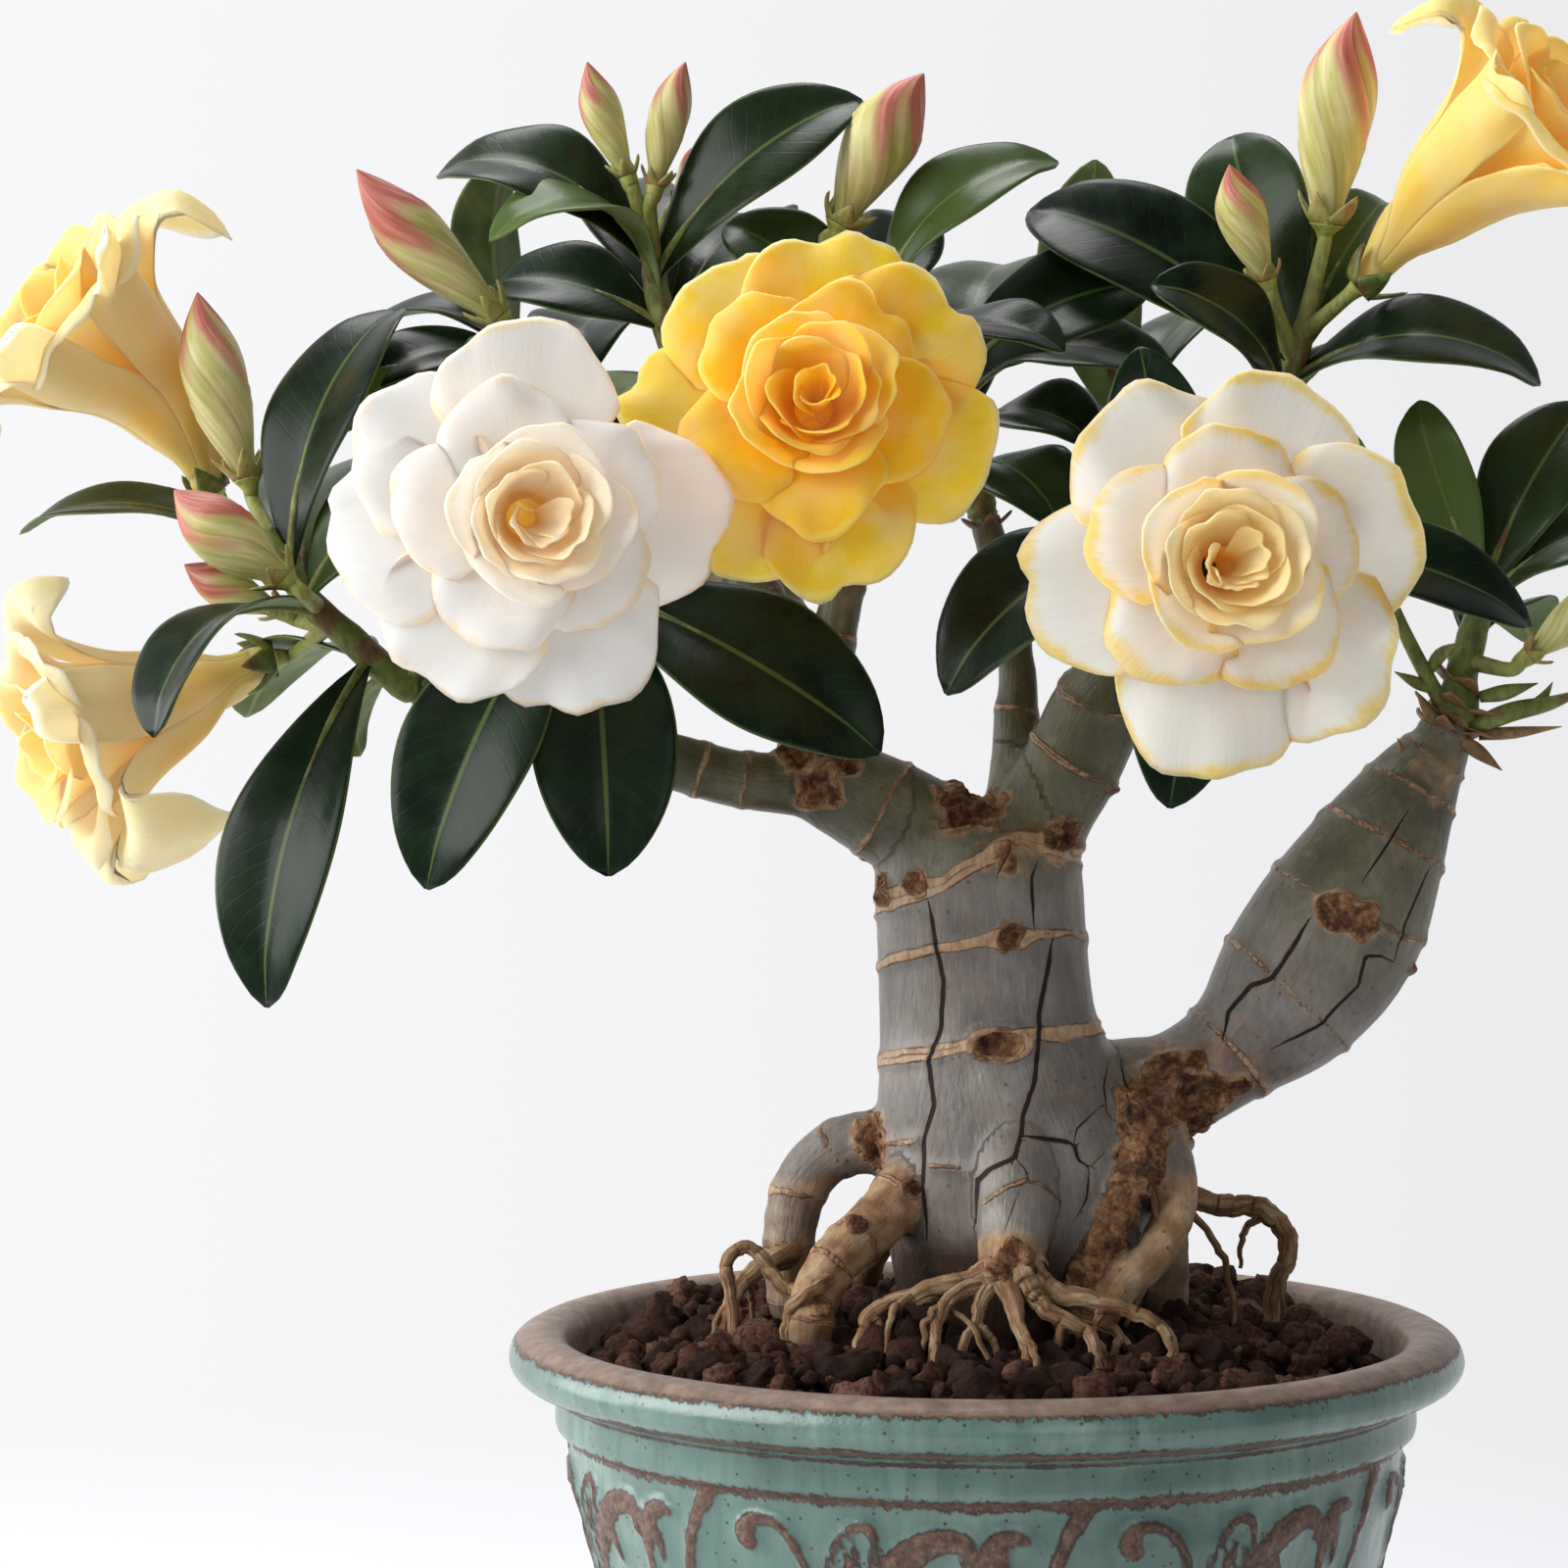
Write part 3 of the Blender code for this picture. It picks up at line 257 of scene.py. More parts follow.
class Finish:  # one material's nodes, with a short call for each kind that it uses
    def __init__(self, name, roughness, **sockets):
        self.material = bpy.data.materials.new(name)
        self.material.use_nodes = True
        self.tree = self.material.node_tree
        self.shader = self.tree.nodes["Principled BSDF"]
        self.shader.inputs["Roughness"].default_value = roughness
        for socket, number in sockets.items():
            self.shader.inputs[socket.replace("_", " ")].default_value = number
        self.place = self.value("TexCoord", "Object")

    def value(self, kind, output, inputs=(), **settings):  # a new node, and what comes out of it
        node = self.tree.nodes.new("ShaderNode" + kind)
        for key, setting in settings.items():
            setattr(node, key, setting)
        for key, given in dict(inputs).items():
            if isinstance(given, Value):
                self.tree.links.new(given.socket, node.inputs[key])
            else:
                node.inputs[key].default_value = given
        return Value(self, node.outputs[output])

    def marks(self, *names):  # numbers kept at each vertex of the mesh
        return [self.value("Attribute", "Fac", attribute_name=name) for name in names]

    def height(self):
        return self.value("SeparateXYZ", "Z", {0: self.place})

    def join(self, x, y, z):
        return self.value("CombineXYZ", 0, {0: x, 1: y, 2: z})

    def math(self, operation, a, b=0.0):
        return self.value("Math", 0, {0: a, 1: b}, operation=operation)

    def stretch(self, z):  # places squeezed in height, which draws a pattern out upwards
        return self.value("Mapping", "Vector", {"Vector": self.place, "Scale": (1, 1, z)})

    def noise(self, size, detail=3.0, place=None, rough=0.5, warp=0.0):  # size in mm
        settings = {"Vector": place or self.place, "Scale": 1 / (size * mm),
                    "Detail": detail, "Roughness": rough, "Distortion": warp}
        return self.value("TexNoise", "Fac", settings)

    def cells(self, size):
        return self.value("TexVoronoi", "Distance", {"Vector": self.place, "Scale": 1 / (size * mm)})

    def mix(self, factor, a, b, blend="MIX"):  # a and b are values or (red, green, blue)
        a, b = (tint(*colour) if isinstance(colour, tuple) else colour for colour in (a, b))
        return self.value("Mix", 2, {0: factor, 6: a, 7: b}, data_type="RGBA", blend_type=blend)

    def bump(self, height, distance, strength=1.0, before=None):  # distance in mm
        settings = {"Height": height, "Distance": distance * mm, "Strength": strength}
        if before is not None:
            settings["Normal"] = before
        return self.value("Bump", "Normal", settings)

    def feed(self, **given):  # what the shader is given
        for key, value in given.items():
            self.tree.links.new(value.socket, self.shader.inputs[key.replace("_", " ")])
        return self.material


# Pot: a turned clay shell with a bare rim, a band and a raised scroll, under a celadon glaze

potShape = dict(
    around=360, row=1.9, innerRow=7.0,          # faces round the pot, and how high a row of them is
    lipHeight=11.5, bandHeight=8.5, wallInset=13, footRadius=54.0, floor=10.0,
    drains=3, drainOffset=27.0, drainRadius=5.0, drainSides=32,
    unevenness=0.22, wobble=22,                 # hand-thrown wobble of the wall, and its size
    repeats=7, firstStem=10.0,                  # the scroll's repeats, and the first one's angle
    relief=1.0, middle=44.0, mirror=0.62,    # the scroll's height, and where its upper half is turned over
)
potLip = rimHeight - potShape["lipHeight"]
potBand = potLip - potShape["bandHeight"]
wallRadius = rimRadius - potShape["wallInset"]

# One repeat of the scroll: strokes through points (along the wall, down from the band, half width)
scrollWidth = math.tau * wallRadius / potShape["repeats"]
scrollStrokes = dict(
    stem=[(1, -2, 3.4), (0, 1.5, 2.2), (-2.5, 6, 1.7), (-5, 13, 1.5), (-6.5, 22, 1.3), (-6, 32, 1.2),
          (-1, 41, 1.3), (8, 44, 1.3)],
    curl=[(11.6, 9.2, 1.0), (10, 8.6, 2.0), (9.3, 6.6, 2.2), (10.8, 4.7, 1.7), (13.6, 4.2, 1.2),
          (17, 5.4, 1.1), (20.2, 9, 1.1), (22.4, 15, 1.1), (23, 24, 1.1), (20, 34, 1.2), (12, 43, 1.3)],
    leafOutline=[(26.6, 22, 0.9), (26.2, 14, 1.0), (28, 8.6, 1.0), (31, 5, 1.1), (34, 4.2, 1.2),
                 (35.8, 6.4, 1.1), (35, 11, 1.0), (32, 17, 1.0), (27.6, 24, 0.9)],
    leafHeart=[(29, 17, 0.6), (30.6, 12, 1.3), (32.4, 8, 0.8)],
    comma=[(31, 30, 0.9), (34, 21, 1.8), (38, 13.5, 3.0), (43, 8.5, 3.1), (48, 6.2, 2.5),
           (52, 6.6, 2.2), (53.4, 9, 1.4), (52.4, 11, 0.8)],
    commaBarb=[(41, 13, 1.6), (43.6, 16, 1.2), (44.2, 19, 0.5)],
    bract=[(58, 30, 1.0), (56, 20, 1.5), (56.2, 11, 2.0), (58.4, 6.6, 2.2), (62, 5.4, 1.6),
           (64.6, 6.4, 0.7)],
    bractBarb=[(58.6, 9, 1.9), (60, 13, 1.4), (60.4, 17, 0.5)],
    vine=[(-4, 44, 1.4), (8, 47, 1.5), (22, 44, 1.4), (37, 41, 1.5), (52, 44, 1.4), (66, 46, 1.5),
          (78, 44, 1.4)],
)


def potProfile():  # (radius, height) from the middle of the floor, over the rim, to the middle of the base
    floor, foot = potShape["floor"], potShape["footRadius"]
    # the rim by (in from the pot's greatest radius, down from its top), then from the lip and the band
    rim = [(rimRadius - inward, rimHeight - down) for inward, down in (
        (12.9, 7), (12.2, 3.4), (10.8, 1.3), (8.6, 0.3), (6, 0.1), (3.2, 0.9), (1.2, 2.4), (0.2, 4.4),
        (0.1, 6.4), (1.2, 8.6), (3.6, 10.2))]
    rim += [(rimRadius - inward, potLip + up) for inward, up in (
        (6.4, 0.3), (8.4, -0.5), (9.4, -1.6), (9.4, -4))]
    rim += [(rimRadius - inward, potBand + up) for inward, up in (
        (9.4, 1.4), (10.2, 0.2), (11.4, -0.6), (12.2, -2), (12.6, -10))]
    base = [(foot + 2.5, 7), (foot + 2.2, 2), (foot + 1, 0.3), (foot - 2, 0)]
    rows = [(0, floor), (foot - 6, floor), (rimRadius - 17.5, potBand - 4), *smoothPath(rim, 3),
            (rimRadius - 25.5, 61), (foot + 3.4, 13), *smoothPath(base, 2), (0, 0)]
    fine = [rows[0]]
    for start, stop in zip(np.array(rows), np.array(rows[1:])):
        outside = stop[0] > rimRadius - 40 and stop[1] < potBand
        gap = potShape["row"] if outside else potShape["innerRow"]
        steps = max(1, math.ceil(np.linalg.norm(stop - start) / gap))
        fine += [(start + (stop - start) * k / steps).tolist() for k in range(1, steps + 1)]
    return fine


def scrollDistance(along, down):
    # how far each point of the wall is from the nearest stroke's edge, negative inside it
    strokes = [smoothPath(points, 6) for points in scrollStrokes.values()]
    for name, points in scrollStrokes.items():
        if name != "vine":
            turned = np.array(points, float)
            turned[:, 0] = potShape["mirror"] * scrollWidth - turned[:, 0]
            turned[:, 1] = 2 * potShape["middle"] - turned[:, 1]
            strokes.append(smoothPath(turned, 6))
    dotsAlong, dotsDown, half = np.vstack(strokes).T
    nearest = np.full(len(along), 99.0)
    for shift in (-scrollWidth, 0, scrollWidth):
        for block in blocks(len(along)):
            gaps = np.hypot(along[block, None] - dotsAlong - shift, down[block, None] - dotsDown)
            nearest[block] = np.minimum(nearest[block], (gaps - half).min(axis=1))
    return nearest


def glazedClay():
    # celadon over brown clay: bare on the rim, worn off along edges and the scroll, streaked down the wall
    finish = Finish("glazedClay", 0.4, Coat_Weight=0.3, Coat_Roughness=0.22)
    bare, stroke, rimTop = finish.marks("bare", "stroke", "rimTop")
    streaks = finish.noise(3.2, 4, finish.stretch(0.16), 0.6)
    ragged = finish.noise(1.3, 4, finish.stretch(0.3), 0.62)
    clouds, patches = finish.noise(26), finish.noise(9, 4)
    glaze = clouds.ramp((0.3, 84, 112, 104), (0.5, 100, 128, 119), (0.72, 120, 147, 137))
    glaze = finish.mix(streaks.fade(0.4, 0.75, 0, 0.6), glaze, (70, 98, 88))
    glaze = finish.mix(finish.noise(5, 2, finish.stretch(0.3)).fade(0.6, 0.8, 0, 0.35),
                       glaze, (148, 176, 164))
    glaze = finish.mix(finish.cells(2.6).fade(0.09, 0.17, 0.85, 0), glaze, (52, 46, 36))
    clay = finish.noise(1.6, 5, rough=0.7).ramp((0.3, 56, 38, 30), (0.5, 96, 70, 58), (0.72, 136, 110, 96))
    rim = finish.noise(4, 5, rough=0.65).ramp((0.3, 108, 86, 74), (0.55, 138, 116, 102),
                                             (0.8, 166, 146, 132))
    clay = finish.mix(rimTop, clay, rim)
    # how far each place is from showing clay, in millimetres: the scroll, and the worn line under each edge,
    # which has its height, its half thickness and how far the glaze has run back from it
    worn = stroke + (ragged - 0.5) * 1.3
    for level, thick, drips in ((rimHeight - 2.2, 0.2, 3.4), (potLip + 1.0, 0.6, 2.8),
                                (potLip - 1.4, 0.1, 1.2), (potBand - 0.6, 0.6, 3.4)):
        gap = abs((finish.height() - level * mm) * (1 / mm))
        worn = worn.smaller(gap - ((ragged - 0.42) * drips + patches.fade(0.45, 0.7) * thick + thick))
    worn = worn - (bare + (patches * 0.8 + ragged * 1.3 - 1.05)).fade(0.3, 0.7, 0, 6)
    shows = worn.fade(-0.15, 0.2, 1, 0)
    line = abs(worn).fade(0.05, 0.5, 0.85, 0) * patches.fade(0.36, 0.58, 0.4, 1)
    surface = finish.mix(line, finish.mix(shows, glaze, clay), (48, 34, 26))
    relief = finish.bump((1 - shows) * 0.6 + finish.noise(0.9) * 0.4, 0.35, 0.6)
    return finish.feed(Base_Color=surface, Roughness=shows.fade(0, 1, 0.3, 0.82),
                       Normal=finish.bump(patches, 1.0, 0.35, relief))


def turnPot():  # the bare turned shell, with its drain holes
    profile = potProfile()
    mesh = bpy.data.meshes.new("turnedPot")
    edges = [(i, i + 1) for i in range(len(profile) - 1)]
    mesh.from_pydata([(r * mm, 0, z * mm) for r, z in profile], edges, [])
    pot = show("turnedPot", mesh)
    turn = pot.modifiers.new("turn", "SCREW")
    turn.steps = turn.render_steps = potShape["around"]
    turn.use_merge_vertices = True
    turn.merge_threshold = 0.00001
    holes = []
    for i in range(potShape["drains"]):
        angle, offset = math.tau * (i + 0.25) / potShape["drains"], potShape["drainOffset"] * mm
        bpy.ops.mesh.primitive_cylinder_add(
            vertices=potShape["drainSides"], radius=potShape["drainRadius"] * mm,
            depth=3 * potShape["floor"] * mm,
            location=(offset * math.cos(angle), offset * math.sin(angle), potShape["floor"] / 2 * mm))
        holes.append(bpy.context.object)
        drill = pot.modifiers.new("drain", "BOOLEAN")
        drill.object, drill.solver = holes[-1], "MANIFOLD"
    return workedOut(pot, holes)


def makePot():
    body = turnPot()
    spots = readRows(body, "co") / mm
    radius, height = np.hypot(spots[:, 0], spots[:, 1]), spots[:, 2]
    angle = np.degrees(np.arctan2(spots[:, 0], -spots[:, 1]))
    slope = (height - 8) / (potBand - 8)
    foot = potShape["footRadius"]
    outside = (radius > foot + slope * (wallRadius - foot) - 3) & (height > 1)
    wall = outside & (height < potBand + 0.5)
    turned = np.mod(angle[wall] - potShape["firstStem"], 360 / potShape["repeats"])
    stroke = np.full(len(spots), 9.0)
    stroke[wall] = scrollDistance(turned / 360 * math.tau * wallRadius, potBand - 1.2 - height[wall])
    push = potShape["relief"] * ease(0.5, -0.8, stroke)
    push[wall] *= ease(potBand - 0.2, potBand - 2.5, height[wall])
    uneven = potShape["unevenness"]
    push[outside] += uneven * grain(spots[outside], potShape["wobble"], 3) - uneven
    push[outside & (radius > rimRadius - 4)] -= 0.1
    spots[:, :2] += spots[:, :2] / np.maximum(radius, 1)[:, None] * push[:, None]
    body.vertices.foreach_set("co", (spots * mm).ravel())

    rimTop = ease(rimHeight - 2.6, rimHeight - 1.6, height) * (radius > rimRadius - 14)
    inner = ((radius < rimRadius - 9) & (height > potShape["floor"] + 2) & ~outside).astype(float)
    base = (height < 1.0).astype(float)
    addMark(body, "bare", np.maximum.reduce([np.where(outside, ease(9, 4, height), 0), rimTop, inner, base]))
    addMark(body, "rimTop", np.maximum(rimTop, inner))
    addMark(body, "stroke", stroke + 0.25)
    body.materials.clear()
    body.materials.append(glazedClay())
    body.shade_smooth()
    settle(show("potGlazed", body), "pot")


makePot()
print("pot turned, scroll raised")


# Caudex: limbs of round section melted together, then rings, cracks, scars and bark worked into the skin

eyeX, eyeZ, eyeDistance = -40, 300, 1000       # where the marks on the trunk are seen from, along +Y

caudexLimbs = dict(  # points (x, y, z, radius) along each limb
    trunk=[(7, 0, 130, 20), (7, 0, 138, 22), (7, 0, 150, 25), (7, 0, 165, 27.5), (5, 0, 178, 26.8),
           (2.5, 0, 190, 24.6), (0.5, 0, 202, 21.9), (-0.8, 0, 220, 20.9), (-1.5, 0, 233, 20.6),
           (-1.5, 0, 242, 18)],
    stump=[(-4, -2, 238, 6), (-4.2, -2, 247, 5.6)],
    arcLeft=[(-8, 2, 176, 7), (-17, 2, 178.5, 6.6), (-25, 2, 179, 6.3), (-31.5, 2, 176.5, 5.9),
             (-36.8, 2, 170, 5.7), (-39, 2, 160, 5.4), (-38.5, 2, 149, 5), (-37, 2, 134, 4)],
    frontLeft=[(-8, -8, 180, 7), (-16.2, -14, 171.5, 6.2), (-22, -20, 166, 5.6), (-28.4, -25, 161, 5.2),
               (-33.5, -29, 154, 4.9), (-35, -31, 146, 4.4), (-35, -32, 134, 3)],
    front=[(4, -12, 190, 9), (5, -22, 177, 8.6), (4.5, -28, 167, 7.4), (3.5, -33, 159.5, 6.2),
           (4, -35, 156.5, 4.6)],
    rightRoot=[(31, -4, 186, 6), (36, -11, 176, 5), (36.3, -16, 167.5, 4.4), (32, -22, 160, 4.2),
               (25, -27, 154, 3.8), (20, -30, 146, 3.2), (18, -31, 136, 2.6)],
    rightBark=[(26, -10, 188, 5), (29.5, -15.5, 179, 4.4), (25.5, -20, 171, 4), (21.5, -23, 162, 3.8),
               (17.5, -25, 153, 3.4), (15, -26, 140, 3)],
    rightFoot=[(30, 4, 178, 8), (34, 6, 164, 6.4), (36, 8, 152, 5.4), (37, 9, 136, 4)],
    backRightRoot=[(12, 12, 182, 8), (18, 24, 170, 6.4), (24, 33, 157, 5.2), (27, 38, 146, 4.4),
                   (28, 40, 134, 3.4)],
    backLeftRoot=[(-6, 10, 180, 8), (-14, 22, 169, 6), (-21, 31, 157, 5), (-25, 37, 146, 4.2),
                  (-26, 39, 134, 3.2)],
    left=[(0, 0, 230, 15), (-11, -1, 240, 11.4), (-23, -1.5, 247, 10.2), (-33, -2, 252, 9)],
    leftLong=[(-31, -2, 250.5, 7), (-47.6, -4, 251.5, 5.8), (-61, -5, 255, 5.7), (-77, -6, 259.5, 4.9),
              (-95, -8, 264.5, 4), (-112, -10, 270, 3.3)],
    leftUp=[(-31, -1, 250, 9), (-32.5, 0, 260, 7.8), (-34, 2, 268, 7)],
    frontLeftBranch=[(-33, 0, 262, 6.5), (-46, -5, 270.5, 5), (-59, -12, 278.5, 4), (-70, -17, 285, 3.4)],
    topLeft=[(-34, 3, 264, 6.5), (-42, 7, 282, 5), (-51, 10, 303, 4), (-57, 12, 320, 3.3)],
    middle=[(-33, 3, 266, 5.8), (-29, 5, 285, 4.4), (-25, 5, 300, 3.6), (-23, 5, 312, 3.2)],
    backLeft=[(-41, 8, 280, 4.6), (-58, 17, 296, 3.8), (-72, 25, 308, 3.4), (-79, 29, 315, 3.2)],
    back=[(-35, 5, 272, 5), (-41, 20, 288, 4.2), (-46, 35, 302, 3.5), (-48, 42, 310, 3.2)],
    right=[(4, 0, 232, 15), (10.5, -1, 244, 10.4), (17, -3, 255, 9.8), (22.5, -5, 267, 9.2),
           (28, -9, 277, 6), (33, -13, 285, 3.6)],
    centre=[(5, 3, 246, 5.4), (6.2, 7, 257, 4.9), (6.4, 9, 264, 4.6), (6.6, 11, 273, 3.9),
            (4, 14, 289, 3.5), (0, 17, 304, 3.2)],
    rightUp=[(22, -3, 262, 7), (31, 0, 278, 5.2), (43, 3, 294, 4.1), (51, 5, 307, 3.4)],
    backRight=[(21, 0, 262, 6), (27, 17, 277, 4.6), (30, 33, 293, 3.7), (31, 42, 304, 3.2)],
    swollen=[(8, 3, 182, 14), (28, 6, 188.5, 11), (38, 8, 190, 10.6), (49.5, 9, 197, 11.4),
             (60.5, 10, 207.5, 16.4), (71, 11, 221.5, 17.6), (78.6, 11, 236, 14.4), (86.4, 12, 250, 9.6),
             (91, 12, 257, 6.6), (93.5, 12.5, 263, 5)],
)

thinRoots = dict(  # finer than the melted limbs, so each is a striated strand of its own
    frontA=[(4, -33, 160.5, 4.4), (0, -35, 158.6, 3), (-5, -36, 156.8, 2.1), (-12.5, -37, 155.6, 1.6),
            (-19, -37, 153, 1.5), (-23.4, -37, 150.4, 1.5), (-25.6, -38, 146, 1.2), (-26, -38, 138, 0.8)],
    frontB=[(3, -34, 160, 3.8), (0, -36, 156.8, 2.2), (-7.4, -39, 154.6, 1.5), (-10.6, -42, 150.8, 1.3),
            (-11.5, -44, 145, 1.1), (-12, -45, 137, 0.8)],
    frontC=[(4, -34, 160, 4), (3, -38, 156, 2.4), (4.8, -43, 149.6, 1.5), (6.1, -46, 145.6, 1.2),
            (7, -48, 141, 0.9), (8, -49, 135, 0.7)],
    frontD=[(5, -34, 160, 4.2), (6.6, -38, 156.4, 2.6), (8.7, -40, 153.4, 1.8), (13.2, -42, 150.6, 1.6),
            (18.3, -44, 147.6, 1.3), (19.5, -46, 143, 1.1), (20, -47, 136, 0.8)],
    frontE=[(6, -33, 160.5, 4.4), (8, -35, 157.6, 3), (11, -36, 155.2, 2.3), (18.3, -38, 153.4, 1.9),
            (26, -39, 151.8, 1.5), (31.7, -40, 149, 1.2), (34.3, -41, 144.8, 1.0), (35, -42, 137, 0.7)],
    frontF=[(6, -33, 160, 3.6), (10, -33, 155, 1.8), (15, -35, 150.6, 1.3), (22, -37, 148.4, 1.1),
            (26, -38, 144, 0.9), (27, -38, 136, 0.6)],
    frontG=[(2, -34, 159, 3), (-2, -38, 154.4, 1.6), (-3.6, -42, 149.4, 1.1), (-6.4, -45, 145, 0.9),
            (-7, -46, 137, 0.6)],
    farRight=[(30, 2, 172, 5), (41.3, 4, 168, 2.6), (48, 5, 166, 2.2), (54, 6, 165.5, 2.1),
              (59.5, 6, 162, 2), (61, 6, 156, 1.9), (58.5, 5, 150, 1.8), (57, 4, 140, 1.4)],
    arcFine=[(-37, 1, 158, 3), (-43, -7, 156, 2), (-48, -11, 153.5, 1.7), (-51, -14, 147, 1.6),
             (-51, -15, 138, 1.3)],
    coil=[(-33, -27, 154, 2.2), (-37, -24, 152.5, 1.6), (-41.5, -22, 155, 1.4), (-45, -21, 160, 1.4),
          (-48.5, -21, 161.5, 1.3), (-51, -21.5, 158, 1.3), (-50.5, -22, 152.5, 1.2),
          (-49.5, -23, 144, 1.0)],
    wrap=[(-31, -32.5, 157, 1.3), (-34.5, -34.6, 155, 1.5), (-38.6, -32, 150.5, 1.4),
          (-39.6, -30, 145, 1.3), (-40, -29, 137, 1.0)],
    hairA=[(30, -14, 176, 0.8), (33, -21, 166, 0.7), (31, -25, 157, 0.6), (26, -28, 147, 0.5)],
    hairB=[(-14, -30, 152, 0.8), (-10, -36, 153, 0.7), (-4, -44, 149, 0.6), (0, -48, 141, 0.5)],
    hairC=[(34, -2, 172, 0.9), (44, 0, 162, 0.8), (48, -1, 154, 0.7), (50, -2, 142, 0.6)],
)

